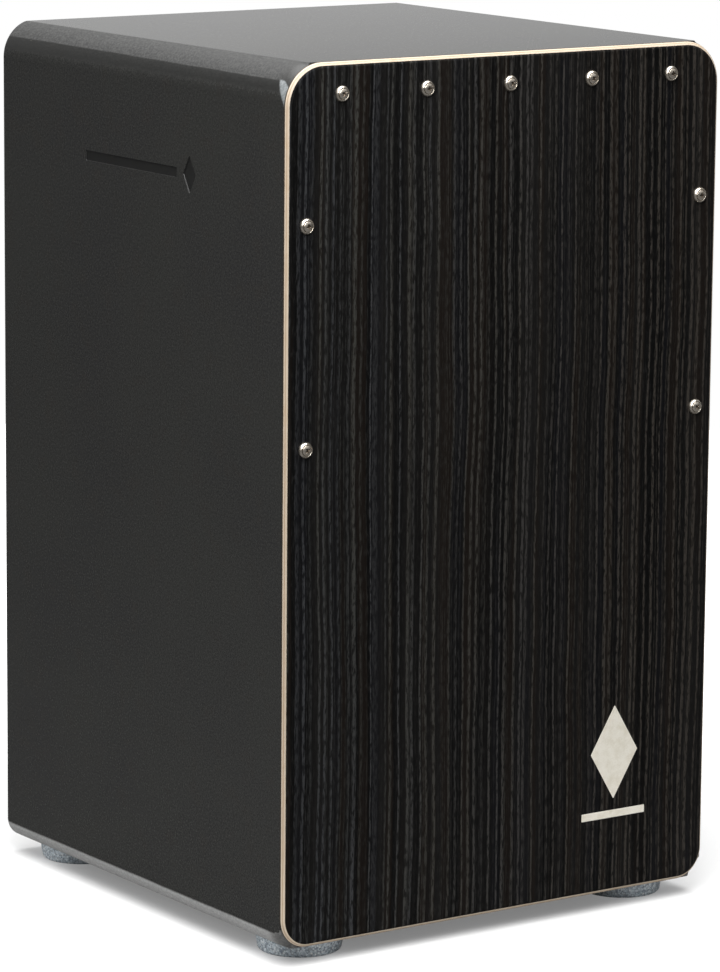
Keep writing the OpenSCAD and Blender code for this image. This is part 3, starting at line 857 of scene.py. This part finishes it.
def front_rows(path):
    """The sanded front end, from the front face to the outside."""
    facets = [front_facet(nx, nz) for _, _, nx, nz in path]
    rows = []
    for number in range(FACET_STEPS + 1):
        row = []
        for (x, z, nx, nz), facet in zip(path, facets):
            inset, depth, out, along = facet[number]
            place = Vector((x - nx * inset, Y_BOX + depth, z - nz * inset))
            row.append((place, Vector((nx * out, -along, nz * out)).normalized()))
        rows.append(row)
    return rows


def rear_run():
    """The rounding from the outside to the rear face."""
    return edge_round((REAR_ROUND, Y_BACK - REAR_ROUND), REAR_ROUND, 180, 90, 8)


def lip_run():
    """From the rear face over the lip's inner edge and down the rebate for the back panel."""
    turned = edge_round((LIP - LIP_BREAK, Y_BACK - LIP_BREAK), LIP_BREAK, 90, 0, 3)
    start = [(REAR_ROUND, Y_BACK, 0, 1)]
    end = [(LIP, Y_BACK - BACK_T, -1, 0)]
    return start + turned + end


def inner_point(x, z, y, upright):
    """The point of the inner wall that lies behind a point of the outline."""
    if upright:
        return Vector((math.copysign(IN_W, x), y, min(max(z, Z_LO + WALL), Z_HI - WALL)))
    return Vector((min(max(x, -IN_W), IN_W), y, Z_HI - WALL if z > Z_MID else Z_LO + WALL))


def flat_span(path):
    """The index of the path's long straight stretch."""
    lengths = [math.dist(a[:2], b[:2]) for a, b in zip(path, path[1:])]
    return lengths.index(max(lengths))


def box_panel(path, upright, outer_holes=None, inner_holes=None):
    """One mitred panel. The functions for holes fill its outer and inner flats themselves."""
    form = Form()
    outer = front_rows(path) + section_rows(path, rear_run())
    lip = section_rows(path, lip_run())
    span = flat_span(path)
    for number, (row_a, row_b) in enumerate(zip(outer, outer[1:])):
        if number == FACET_STEPS and outer_holes:
            form.strip(row_a[:span + 1], row_b[:span + 1])
            form.strip(row_a[span + 1:], row_b[span + 1:])
            corners = row_a[span:span + 2] + row_b[span:span + 2][::-1]
            outer_holes(form, [point for point, _ in corners])
        else:
            form.strip(row_a, row_b)
    form.surface(lip)
    inner_rear = [(inner_point(x, z, Y_BACK - BACK_T, upright), None) for x, z, _, _ in path]
    inner_front = [(inner_point(x, z, Y_BOX, upright), None) for x, z, _, _ in path]
    form.strip(lip[-1], inner_rear, flat=True)
    if inner_holes:
        form.strip(inner_rear[:span + 1], inner_front[:span + 1], flat=True)
        form.strip(inner_rear[span + 1:], inner_front[span + 1:], flat=True)
        corners = inner_rear[span:span + 2] + inner_front[span:span + 2][::-1]
        inner_holes(form, [point for point, _ in corners])
    else:
        form.strip(inner_rear, inner_front, flat=True)
    form.strip(inner_front, outer[0], flat=True)
    for end in (0, -1):
        section = [row[end][0] for row in outer + lip] + [inner_rear[end][0], inner_front[end][0]]
        form.face(section)
    return form


def soft_corners(points, radius, steps=4):
    """A flat outline of (u, v) with its corners rounded."""
    made = []
    for i, point in enumerate(points):
        here = Vector(point)
        before = (Vector(points[i - 1]) - here).normalized()
        after = (Vector(points[(i + 1) % len(points)]) - here).normalized()
        reach = radius / math.tan(before.angle(after) / 2)
        made += bezier(here + before * reach, here, here + after * reach, steps)
    return made


def pressed_outlines():
    """The lozenge and the bar, in (y, z)."""
    lozenge = [
        (PRESS_Y - PRESS_W / 2, PRESS_Z), (PRESS_Y, PRESS_Z + PRESS_H / 2),
        (PRESS_Y + PRESS_W / 2, PRESS_Z), (PRESS_Y, PRESS_Z - PRESS_H / 2),
    ]
    y0 = PRESS_Y + PRESS_W
    y1 = y0 + PRESS_LEN
    z0 = PRESS_Z - PRESS_BAR_H / 2
    z1 = PRESS_Z + PRESS_BAR_H / 2
    bar = [(y0, z0), (y0, z1), (y1, z1), (y1, z0)]
    return [lozenge, bar]


def shrink(points, amount):
    """A flat convex outline moved inwards by amount."""
    centre = Vector((sum(p[0] for p in points), sum(p[1] for p in points))) / len(points)
    made = []
    for i, point in enumerate(points):
        before = (Vector(point) - Vector(points[i - 1])).normalized()
        after = (Vector(points[(i + 1) % len(points)]) - Vector(point)).normalized()
        normals = [Vector((d.y, -d.x)) for d in (before, after)]
        normals = [n if n.dot(centre - Vector(point)) > 0 else -n for n in normals]
        bisector = (normals[0] + normals[1]).normalized()
        made.append(Vector(point) + bisector * (amount / max(bisector.dot(normals[0]), 0.3)))
    return made


def press_marks(form, corners):
    """Presses the plain marks into the left side's flat."""
    x = -HALF_W
    levels = [(0, 0), (0.08, 0.25), (0.3, 0.7), (0.6, 1.0), (1.0, 1.0)]
    holes = []
    for outline in pressed_outlines():
        rings = []
        for inward, down in levels:
            ring = soft_corners(shrink(outline, inward * PRESS_SOFT * 2), PRESS_CORNER)
            rings.append([Vector((x + down * PRESS_DEPTH, y, z)) for y, z in ring])
        form.tube(rings)
        form.face(rings[-1])
        holes.append(rings[0])
    form.plate(corners, holes)


def darken_marks(mesh):
    """Gives the pressed marks' walls and floors their darker, burnished tone."""
    mesh.materials.append(MDF_PRESSED)
    slack = 0.02 * MM
    reach_z = PRESS_H / 2 + 1 * MM
    for polygon in mesh.polygons:
        x, y, z = polygon.center
        pressed = slack < x + HALF_W < PRESS_DEPTH + slack
        away_from_ends = Y_BOX + 20 * MM < y < Y_BACK - 20 * MM
        if pressed and away_from_ends and abs(z - PRESS_Z) < reach_z:
            polygon.material_index = 1


BOLT = middle(islands("thrust_washers")[0])


def bolt_ring(height, radius):
    """A ring about the adjusting bolt's axis."""
    return [Vector((BOLT.x + u, BOLT.y + v, height)) for u, v in circle(radius, RECESS_STEPS)]


def recess_below(form, corners):
    """The recess for the adjusting bolt's head, with a small countersink at its mouth."""
    mouth = bolt_ring(Z_LO, RECESS_R + RECESS_SOFT)
    throat = bolt_ring(Z_LO + RECESS_SOFT, RECESS_R)
    deep = bolt_ring(Z_LO + RECESS_DEEP, RECESS_R)
    hole = bolt_ring(Z_LO + RECESS_DEEP, BOLT_HOLE_R)
    top = bolt_ring(Z_LO + WALL, BOLT_HOLE_R)
    form.tube([mouth, throat, deep, hole, top])
    form.plate(corners, [mouth])


def hole_above(form, corners):
    form.plate(corners, [bolt_ring(Z_LO + WALL, BOLT_HOLE_R)])


def make_box():
    boards = [
        ("side_board_left", "left_side", box_panel(side_path(-1), True, outer_holes=press_marks)),
        ("side_board_right", "right_side", box_panel(side_path(1), True)),
        ("seat_board", "seat_panel", box_panel(cap_path(1), False)),
        ("bottom_board", "bottom_panel", box_panel(cap_path(-1), False, recess_below, hole_above)),
    ]
    for name, node, form in boards:
        piece = show(name, form.mesh(name), "box", MDF, [node])
        if node == "left_side":
            darken_marks(piece.data)


def closed_path(half_w, half_h, radii, steps=ARC_STEPS):
    """A rounded rectangle about the box's middle, as (x, z, nx, nz)."""
    made = []
    for side, up, start in ((1, TOP, 0), (-1, TOP, 90), (-1, LOW, 180), (1, LOW, 270)):
        radius = radii[up]
        centre = (side * (half_w - radius), Z_MID + up * (half_h - radius))
        made += arc(centre, radius, start, start + 90, steps)
    return made


def make_back():
    """The back panel, with softened edges and a rounded sound hole."""
    form = Form()
    path = closed_path(HALF_W - LIP, HALF_H - LIP, {up: EDGE_R[up] - LIP for up in (TOP, LOW)})
    front = Y_BACK - BACK_T
    rear_break = 0.5 * MM
    rim = [(0, front, 1, 0)]
    rim += edge_round((rear_break, Y_BACK - rear_break), rear_break, 180, 90, 3)
    rows = section_rows(path, rim)
    form.surface(rows, closed=True)
    lip = arc((HOLE_R + HOLE_ROUND, Y_BACK - HOLE_ROUND), HOLE_ROUND, 90, 180, 6)
    lip += arc((HOLE_R + HOLE_ROUND, front + HOLE_ROUND), HOLE_ROUND, 180, 270, 6)
    hole_place = Matrix.Translation((0, 0, HOLE_Z)) @ Matrix.Rotation(math.radians(-90), 4, "X")
    turn(form, [lip], hole_place, HOLE_STEPS)
    for y, outline in ((Y_BACK, rows[-1]), (front, rows[0])):
        hole = [hole_place @ Vector((u, v, y)) for u, v in circle(HOLE_R + HOLE_ROUND, HOLE_STEPS)]
        form.plate([p for p, _ in outline], [hole])
    show("back_board", form.mesh("back_board"), "box", BACK_MDF, ["back_panel"])


# The front board ---------------------------------------------------------------------------------

SCREWS = [middle(points) for points in islands("tapa_washers")]


def rim_curve():
    """The rim's rounded bevel, as (inset, depth) from the face back."""
    control = (RIM_W * (0.5 - RIM_BULGE), RIM_D * (0.5 - RIM_BULGE))
    return bezier((RIM_W, 0), control, (0, RIM_D), 4 * RIM_STEPS)


def rim_run(points):
    """Rim points as (inset, y, normal outward, normal y)."""
    return [(u, Y_FACE + v, nu, -nv) for u, v, nu, nv in curve(points)]


def board(run_front, y_front, y_rear, tail):
    """A board between two planes, its edge a part of the rim, with the screws' clearance holes."""
    form = Form()
    path = closed_path(HALF_W, HALF_H, TAPA_R)
    rows = section_rows(path, run_front)
    form.surface(rows, closed=True)
    last = rows[-1]
    if tail:
        tail_rows = section_rows(path, tail)
        form.surface(tail_rows, closed=True)
        last = tail_rows[-1]
    walls = [
        [[Vector((s.x + u, y, s.z + v)) for u, v in circle(CLEAR_R, CLEAR_STEPS)] for s in SCREWS]
        for y in (y_front, y_rear)
    ]
    for rings in zip(*walls):
        form.tube(rings)
    form.plate([p for p, _ in rows[0]], walls[0])
    form.plate([p for p, _ in last], walls[1])
    return form


def make_tapa():
    points = rim_curve()
    cut = next(i for i, (_, depth) in enumerate(points) if depth >= VENEER_T)
    face_points = points[:cut] + [at_depth(points, cut)]
    core_points = [at_depth(points, cut)] + points[cut:]
    veneer = board(rim_run(face_points), Y_FACE, Y_FACE + VENEER_T, None)
    soft = 0.15 * MM
    tail = [(0, Y_FACE + RIM_D, 1, 0)] + edge_round((soft, Y_BOX - soft), soft, 180, 90, 2)
    core = board(rim_run(core_points), Y_FACE + VENEER_T, Y_BOX, tail)
    show("tapa_face", veneer.mesh("tapa_face"), "box", VENEER, ["tapa_veneer"])
    show("tapa_plies", core.mesh("tapa_plies"), "box", PLY, ["tapa_core"])


def at_depth(points, cut):
    """The rim's point at the depth of the veneer's back."""
    before = points[cut - 1]
    after = points[cut]
    share = (VENEER_T - before[1]) / (after[1] - before[1])
    return (before[0] + (after[0] - before[0]) * share, VENEER_T)


def make_inlay():
    """The plain lozenge and bar, as thin film with soft edges."""
    form = Form()
    film = Y_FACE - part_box("front_inlay")[0].y
    soft = 0.3 * film
    for points in islands("front_inlay"):
        lo, hi = limits(points)
        centre = (lo + hi) / 2
        corners = [(lo.x, lo.z), (lo.x, hi.z), (hi.x, hi.z), (hi.x, lo.z)]
        if hi.z - lo.z > hi.x - lo.x:
            corners = [(lo.x, centre.z), (centre.x, hi.z), (hi.x, centre.z), (centre.x, lo.z)]
        rings = []
        for inward, y in ((0, Y_FACE), (0, Y_FACE - film + soft), (soft, Y_FACE - film)):
            ring = soft_corners(shrink(corners, inward), 0.4 * MM)
            rings.append([Vector((x, y, z)) for x, z in ring])
        form.tube(rings)
        form.face(rings[0])
        form.face(rings[-1])
    show("front_film", form.mesh("front_film"), "box", CREAM, ["front_inlay"])


WASHER_LO, WASHER_HI = limits(islands("tapa_washers")[0])
CUP_R = (WASHER_HI.x - WASHER_LO.x) / 2
CUP_H = WASHER_HI.y - WASHER_LO.y
HEAD_R = 3.0 * MM
CROSS_R = 1.7 * MM
HEAD_PROUD = Y_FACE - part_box("tapa_screws")[0].y
CUP_SEAT = 0.25 * MM
CUP_HOLE_R = 2.1 * MM
SHANK_R = 1.75 * MM
SCREW_LEN = 18 * MM


def on_face(spot, angle=0.0):
    """Places a turned form on the front board, its axis out of the face."""
    place = Matrix.Translation((spot.x, Y_FACE, spot.z)) @ Matrix.Rotation(math.radians(90), 4, "X")
    return place @ Matrix.Rotation(angle, 4, "Z")


FOOT_H = 0.2 * MM
RIM_DROP = 0.25 * MM
ROLL_ROOM = 0.75 * MM
HEAD_GAP = 0.12 * MM


def make_washers():
    """Turned cup washers: a thin foot, a swept-up wall, a rolled rim and a conical seat."""
    wall_top = (CUP_R - ROLL_ROOM, CUP_H - RIM_DROP)
    wall = bezier((CUP_R, FOOT_H), (CUP_R - 0.15 * MM, CUP_H * 0.6), wall_top, 6)
    roll_r = (CUP_R - ROLL_ROOM - HEAD_R - HEAD_GAP) / 2
    roll_c = HEAD_R + HEAD_GAP + roll_r
    crown = (roll_c, CUP_H)
    roll_start = (roll_c + roll_r, CUP_H - RIM_DROP)
    roll_end = (roll_c - roll_r, CUP_H - 0.3 * MM)
    roll = bezier(roll_start, (roll_c + roll_r * 0.6, CUP_H), crown, 4)[1:]
    roll += bezier(crown, (roll_c - roll_r * 0.9, CUP_H), roll_end, 4)[1:]
    smooth = curve(wall + roll)
    cone = curve([roll[-1], (CUP_HOLE_R, CUP_SEAT)])
    foot = [(CUP_R, 0.0, 1, 0), (CUP_R, FOOT_H, 1, 0)]
    hole = [(CUP_HOLE_R, 0.0, -1, 0), (CUP_HOLE_R, CUP_SEAT, -1, 0)]
    under = [(CUP_HOLE_R, 0.0, 0, -1), (CUP_R, 0.0, 0, -1)]
    form = Form()
    for spot in SCREWS:
        turn(form, [foot, smooth, cone, hole, under], on_face(spot), 56)
    show("cup_washers", form.mesh("cup_washers"), "box", NICKEL, ["tapa_washers"])


def cross_cutter(place):
    """A tapered cross, which cuts a screw head's drive recess."""
    work = bmesh.new()
    top = HEAD_PROUD + 0.3 * MM
    bottom = HEAD_PROUD - 1.7 * MM
    outline = []
    for quarter in range(4):
        turn_by = Matrix.Rotation(math.radians(90 * quarter), 2)
        for u, v in ((1.0, -0.28), (1.0, 0.28), (0.36, 0.36)):
            outline.append(turn_by @ Vector((u, v)))
    rings = []
    for height, reach in ((top, CROSS_R * 1.1), (bottom, 0.6 * MM)):
        spots = [place @ Vector((p.x * reach, p.y * reach, height)) for p in outline]
        rings.append([work.verts.new(spot) for spot in spots])
    count = len(outline)
    for i in range(count):
        work.faces.new([rings[0][i], rings[0][(i + 1) % count], rings[1][(i + 1) % count], rings[1][i]])
    work.faces.new(rings[0])
    work.faces.new(rings[1])
    bmesh.ops.recalc_face_normals(work, faces=work.faces)
    made = bpy.data.meshes.new("cross")
    work.to_mesh(made)
    work.free()
    return made


def make_screws():
    """Raised-head wood screws, each stopped at its own angle, with a cut cross recess."""
    rise = HEAD_PROUD - CUP_H
    dome_r = (HEAD_R ** 2 + rise ** 2) / (2 * rise)
    dome_h = HEAD_PROUD - dome_r
    half = math.degrees(math.asin(HEAD_R / dome_r))
    dome = arc((0, dome_h), dome_r, 90, 90 - half * 0.94, 14)
    edge = bezier(dome[-1][:2], (HEAD_R, CUP_H - 0.02 * MM), (HEAD_R - 0.12 * MM, CUP_H - 0.25 * MM), 5)
    seat_end = (CUP_HOLE_R - 0.1 * MM, CUP_SEAT)
    profile = [(u, v) for u, v, _, _ in dome] + edge[1:]
    smooth = curve(profile[::-1])
    cone = curve([edge[-1], seat_end][::-1])
    shank = [
        (CUP_HOLE_R - 0.1 * MM, CUP_SEAT, 1, 0), (SHANK_R, -0.5 * MM, 1, 0),
        (SHANK_R, -SCREW_LEN * 0.8, 1, 0), (0.3 * MM, -SCREW_LEN, 1, 0),
    ]
    chance = random.Random(7)
    heads = Form()
    cutters = bmesh.new()
    for spot in SCREWS:
        place = on_face(spot, chance.uniform(0, math.pi / 2))
        turn(heads, [smooth, cone, shank], place, 48)
        disc(heads, 0.3 * MM, -SCREW_LEN, place, 48)
        cross = cross_cutter(place)
        cutters.from_mesh(cross)
        bpy.data.meshes.remove(cross)
    piece = show("wood_screws", heads.mesh("wood_screws"), "box", NICKEL, ["tapa_screws"])
    cut_mesh = bpy.data.meshes.new("crosses")
    cutters.to_mesh(cut_mesh)
    cutters.free()
    cut_away(piece, cut_mesh)
    # Painted shade: faces inside each cross recess get the dark plated colour
    piece.data.materials.append(NICKEL_PAINTED_SHADE)
    for polygon in piece.data.polygons:
        spot = min(SCREWS, key=lambda s: (s - polygon.center).length)
        off_axis = math.hypot(polygon.center.x - spot.x, polygon.center.z - spot.z)
        height = Y_FACE - polygon.center.y
        skin = dome_h + math.sqrt(dome_r ** 2 - min(off_axis, HEAD_R) ** 2)
        if off_axis < CROSS_R and CUP_SEAT < height < skin - 0.05 * MM:
            polygon.material_index = 1


def cut_away(piece, mesh):
    """Cuts a mesh out of a piece, and leaves the result as its mesh."""
    cutter = new_object("cutter", mesh)
    cut = piece.modifiers.new("cut", "BOOLEAN")
    cut.operation = "DIFFERENCE"
    cut.object = cutter
    cut.solver = "EXACT"
    bpy.context.view_layer.update()
    evaluated = piece.evaluated_get(bpy.context.evaluated_depsgraph_get())
    result = bpy.data.meshes.new_from_object(evaluated)
    piece.modifiers.clear()
    piece.data = result
    bpy.data.objects.remove(cutter)
    bpy.data.meshes.remove(mesh)
    result.shade_smooth()
    result.set_sharp_from_angle(angle=math.radians(30))


# Feet --------------------------------------------------------------------------------------------

def make_foot(node, name, seed):
    """A tapered foot of rubber crumb, its surface slightly pitted, with a recess for its screw."""
    lo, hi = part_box(node)
    centre = (lo + hi) / 2
    top_r = (hi.x - lo.x) / 2
    height = hi.z - lo.z
    low_r = top_r - 1.5 * MM
    recess_r = 9 * MM
    recess_deep = 5.5 * MM
    hole_r = 2.5 * MM
    rise = 1.6 * MM
    waist = (low_r + 0.2 * MM, rise)
    shoulder = (top_r - 0.05 * MM, height - 0.9 * MM)
    outside = bezier((low_r - rise, 0), (low_r, 0), waist, 6)
    outside += bezier(waist, (top_r - 0.6 * MM, height * 0.5), shoulder, 10)[1:]
    outside += bezier(outside[-1], (top_r, height), (top_r - 0.9 * MM, height), 5)[1:]
    bottom = [(low_r - rise - (low_r - rise - recess_r - 0.4 * MM) * i / 8, 0) for i in range(9)][::-1]
    mouth = bezier((recess_r, 0.4 * MM), (recess_r, 0), (recess_r + 0.4 * MM, 0), 3)
    place = Matrix.Translation((centre.x, centre.y, lo.z))
    form = Form()
    runs = [
        curve(mouth[:-1] + bottom[:-1] + outside),
        [(recess_r, recess_deep, -1, 0), (recess_r, 0.4 * MM, -1, 0)],
        [(hole_r, recess_deep, 0, -1), (recess_r, recess_deep, 0, -1)],
        [(hole_r, height, -1, 0), (hole_r, recess_deep, -1, 0)],
        [(hole_r, height, 0, 1), (outside[-1][0], height, 0, 1)],
    ]
    turn(form, runs, place, 144)
    mesh = form.mesh(name)
    chance = random.Random(seed)
    for vert in mesh.vertices:
        out = Vector((vert.co.x - centre.x, vert.co.y - centre.y, 0))
        if out.length > recess_r + 1 * MM and lo.z + 0.3 * MM < vert.co.z < hi.z - 0.3 * MM:
            vert.co -= out.normalized() * chance.uniform(0, 0.14 * MM)
    show(name, mesh, "box", RUBBER, [node])


# Snare -------------------------------------------------------------------------------------------

COIL_TURNS = 84
COIL_STEPS = 10
WIRE_SIDES = 4
WIRE_R = 0.24 * MM


def make_coils(node, name):
    """A set of coiled snare wires, each a helix."""
    points = []
    faces = []
    for number, rod in enumerate(islands(node)):
        half_way = (max(p.z for p in rod) + min(p.z for p in rod)) / 2
        low = middle([p for p in rod if p.z < half_way])
        high = middle([p for p in rod if p.z >= half_way])
        axis = (high - low).normalized()
        side = AXIS_X
        front = axis.cross(side).normalized()
        coil_r = max((p - low).dot(side) for p in rod) - WIRE_R
        length = (high - low).length
        total = COIL_TURNS * COIL_STEPS
        phase = 2.4 * number
        start = len(points)
        for i in range(total + 1):
            angle = phase + 2 * math.pi * i / COIL_STEPS
            out = side * math.cos(angle) + front * math.sin(angle)
            core = low + axis * (WIRE_R + (length - 2 * WIRE_R) * i / total) + out * coil_r
            for k in range(WIRE_SIDES):
                spin = 2 * math.pi * (k + 0.5) / WIRE_SIDES
                points.append(core + (out * math.cos(spin) + axis * math.sin(spin)) * WIRE_R)
        for i in range(total):
            for k in range(WIRE_SIDES):
                m = (k + 1) % WIRE_SIDES
                a = start + i * WIRE_SIDES
                b = a + WIRE_SIDES
                faces.append((a + k, a + m, b + m, b + k))
        faces.append(tuple(start + k for k in range(WIRE_SIDES))[::-1])
        faces.append(tuple(start + total * WIRE_SIDES + k for k in range(WIRE_SIDES)))
    show(name, mesh_of(name, points, faces), "snare_arm", SPRING, [node])


STEEL_NODES = [
    "foot_washers", "foot_screws", "bracket_screws", "pivot_pin", "pin_clips", "thrust_washers",
    "adjuster_bolt", "adjuster_collar", "collar_grub_screw", "trunnion_nut", "slat_bolts", "slat_nuts",
    "crossbar_screws", "clip_screws",
]


def make_inside():
    """Wood, steel and felt parts that keep their CAD shape, with rounded edges."""
    for where in ("top", "bottom"):
        rounded(f"tapa_batten_{where}", f"batten_{where}", SOFTWOOD_X, 0.6 * MM)
        for side in ("left", "right"):
            node = f"corner_block_{where}_{side}"
            rounded(node, f"glue_block_{where}_{side}", SOFTWOOD_Y, 0.5 * MM)
    for side in ("left", "right"):
        rounded(f"tapa_batten_{side}", f"batten_{side}", SOFTWOOD_Z, 0.6 * MM)
        rounded(f"snare_clip_{side}", f"wire_clip_{side}", CLIP_STEEL, 0.2 * MM)
        make_coils(f"snare_wires_{side}", f"coiled_wires_{side}")
    rounded("snare_slat", "arm_slat", BEECH_Z, 0.8 * MM)
    rounded("snare_crossbar", "arm_crossbar", BEECH_X, 0.8 * MM)
    rounded("snare_crank", "crank_plate", ZINC, 0.25 * MM)
    rounded("snare_bracket", "pivot_bracket", ZINC, 0.25 * MM)
    rounded("wire_felt", "felt_strip", FELT, 0.3 * MM, 3)
    for node in STEEL_NODES:
        rounded(node, f"{node}_finished", ZINC, 0.12 * MM)


# Stage -------------------------------------------------------------------------------------------

CAMERA_PLACE = Vector((-1.5513, -2.2488, 0.7488))
CAMERA_AZIMUTH = math.radians(-34.68)
CAMERA_ELEVATION = math.radians(10.61)
CAMERA_ROLL = math.radians(0.49)
CAMERA_LENS = 173.17
FLOOR_R = 1.6
FLOOR_ALBEDO = 0.66
FLOOR_GLOSS_ALBEDO = 0.08
FLOOR_LIFT = 0.20
FLOOR_LIFT_FAR = 0.6
AMBIENT = 0.10
FLAG_DIM = 0.62


def make_camera():
    data = bpy.data.cameras.new("camera")
    data.sensor_width = 36
    data.lens = CAMERA_LENS
    data.clip_start = 0.05
    data.clip_end = 50
    camera = new_object("camera", data)
    back = Vector((
        math.sin(CAMERA_AZIMUTH) * math.cos(CAMERA_ELEVATION),
        -math.cos(CAMERA_AZIMUTH) * math.cos(CAMERA_ELEVATION),
        math.sin(CAMERA_ELEVATION),
    ))
    right = AXIS_Z.cross(back).normalized()
    up = back.cross(right)
    turned_right = right * math.cos(CAMERA_ROLL) + up * math.sin(CAMERA_ROLL)
    turned_up = up * math.cos(CAMERA_ROLL) - right * math.sin(CAMERA_ROLL)
    axes = Matrix((turned_right, turned_up, back)).transposed().to_4x4()
    camera.matrix_world = Matrix.Translation(CAMERA_PLACE) @ axes
    bpy.context.scene.camera = camera


def panel_mask(azimuth, elevation, az_range, el_range, soft):
    """1 inside a rectangle of the surroundings, in degrees, with soft borders."""
    parts = [
        step(azimuth, az_range[0] - soft, az_range[0] + soft),
        step(azimuth, az_range[1] + soft, az_range[1] - soft),
        step(elevation, el_range[0] - soft, el_range[0] + soft),
        step(elevation, el_range[1] + soft, el_range[1] - soft),
    ]
    made = parts[0]
    for part in parts[1:]:
        made = made * part
    return made


def make_world():
    """White behind the object; around it, soft studio panels that light it and show in its gloss."""
    world = bpy.data.worlds.new("studio")
    bpy.context.scene.world = world
    world.use_nodes = True
    tree = world.node_tree
    tree.nodes.clear()
    direction = add("ShaderNodeTexCoord", tree=tree).output("Generated")
    px, py, pz = split(direction)
    azimuth = calc("DEGREES", calc("ARCTAN2", px, py * -1.0))
    elevation = calc("DEGREES", calc("ARCSINE", pz))
    total = AMBIENT
    # Azimuth range, elevation range and softness in degrees, then strength
    panels = [
        ((-86, -22), (12, 54), 6, 0.62),
        ((-24, 84), (22, 60), 8, 0.35),
        ((92, 200), (-8, 70), 4, 0.62),
        ((-200, -92), (8, 62), 4, 0.85),
    ]
    for az_range, el_range, soft, strength in panels:
        mask = panel_mask(azimuth, elevation, az_range, el_range, soft)
        total = mask * strength + total
    above = step(elevation, 62, 72, 0.0, 1.3)
    total = total + above
    path = add("ShaderNodeLightPath", tree=tree)
    flagged = panel_mask(azimuth, elevation, (-200, -92), (8, 38), 6)
    flagged = flagged * path.output("Is Glossy Ray")
    total = total - flagged * FLAG_DIM
    seen = path.output("Is Camera Ray")
    strength = total * (1.0 - seen) + seen
    shader = add("ShaderNodeBackground", {"Color": grey(1.0), "Strength": strength})
    output = tree.nodes.new("ShaderNodeOutputWorld")
    tree.links.new(shader.socket, output.inputs["Surface"])


def floor_material():
    """White to the camera, with a camera-only glow, stronger further off, that lifts its shadows as
    painted light. To the object it is pale close by and dark further off, as a sweep is.
    """
    made, shader, point = new_material(
        "pale_floor", Roughness=0.9, Specular_IOR_Level=0.0, Emission_Color=grey(1.0),
    )
    px, py, _ = split(point)
    radius = calc("SQRT", px * px + py * py)
    falloff = step(radius, 0.20, 0.46, 0.5, 0.05)
    path = add("ShaderNodeLightPath", tree=point.tree)
    albedo = tint(path.output("Is Glossy Ray"), falloff, grey(FLOOR_GLOSS_ALBEDO))
    albedo = tint(path.output("Is Camera Ray"), albedo, grey(FLOOR_ALBEDO))
    # Painted light: the floor glows for the camera only, lifting its shadows, more so further from the
    # box
    lift = step(radius, 0.25, 0.42, FLOOR_LIFT, FLOOR_LIFT_FAR)
    use(shader, Base_Color=albedo, Emission_Strength=path.output("Is Camera Ray") * lift)
    return made


def make_floor():
    work = bmesh.new()
    bmesh.ops.create_circle(work, cap_ends=True, segments=96, radius=FLOOR_R)
    mesh = bpy.data.meshes.new("floor")
    work.to_mesh(mesh)
    work.free()
    floor = new_object("floor", mesh)
    floor.data.materials.append(floor_material())


def make_light(name, place, target, size, watts):
    data = bpy.data.lights.new(name, "AREA")
    data.shape = "RECTANGLE"
    data.size, data.size_y = size
    data.energy = watts
    light = new_object(name, data)
    light.location = place
    light.rotation_euler = (Vector(target) - Vector(place)).to_track_quat("-Z", "Y").to_euler()
    return light


def make_stage():
    make_camera()
    make_world()
    make_floor()
    top = make_light("top_softbox", (-0.2, -0.3, 2.4), (0, 0, 0), (2.2, 2.2), 80)
    top.data.specular_factor = 0.0
    key = make_light("key_softbox", (-0.6, -0.8, 0.95), (-0.1, -0.15, 0.4), (0.5, 0.5), 7)
    key.data.specular_factor = 0.35
    bpy.context.scene.view_settings.view_transform = "Standard"


make_stage()
make_box()
make_back()
make_tapa()
make_inlay()
make_washers()
make_screws()
FEET = ["foot_front_left", "foot_front_right", "foot_rear_left", "foot_rear_right"]
for foot_number, foot_node in enumerate(FEET):
    make_foot(foot_node, f"{foot_node}_crumb", foot_number)
make_inside()
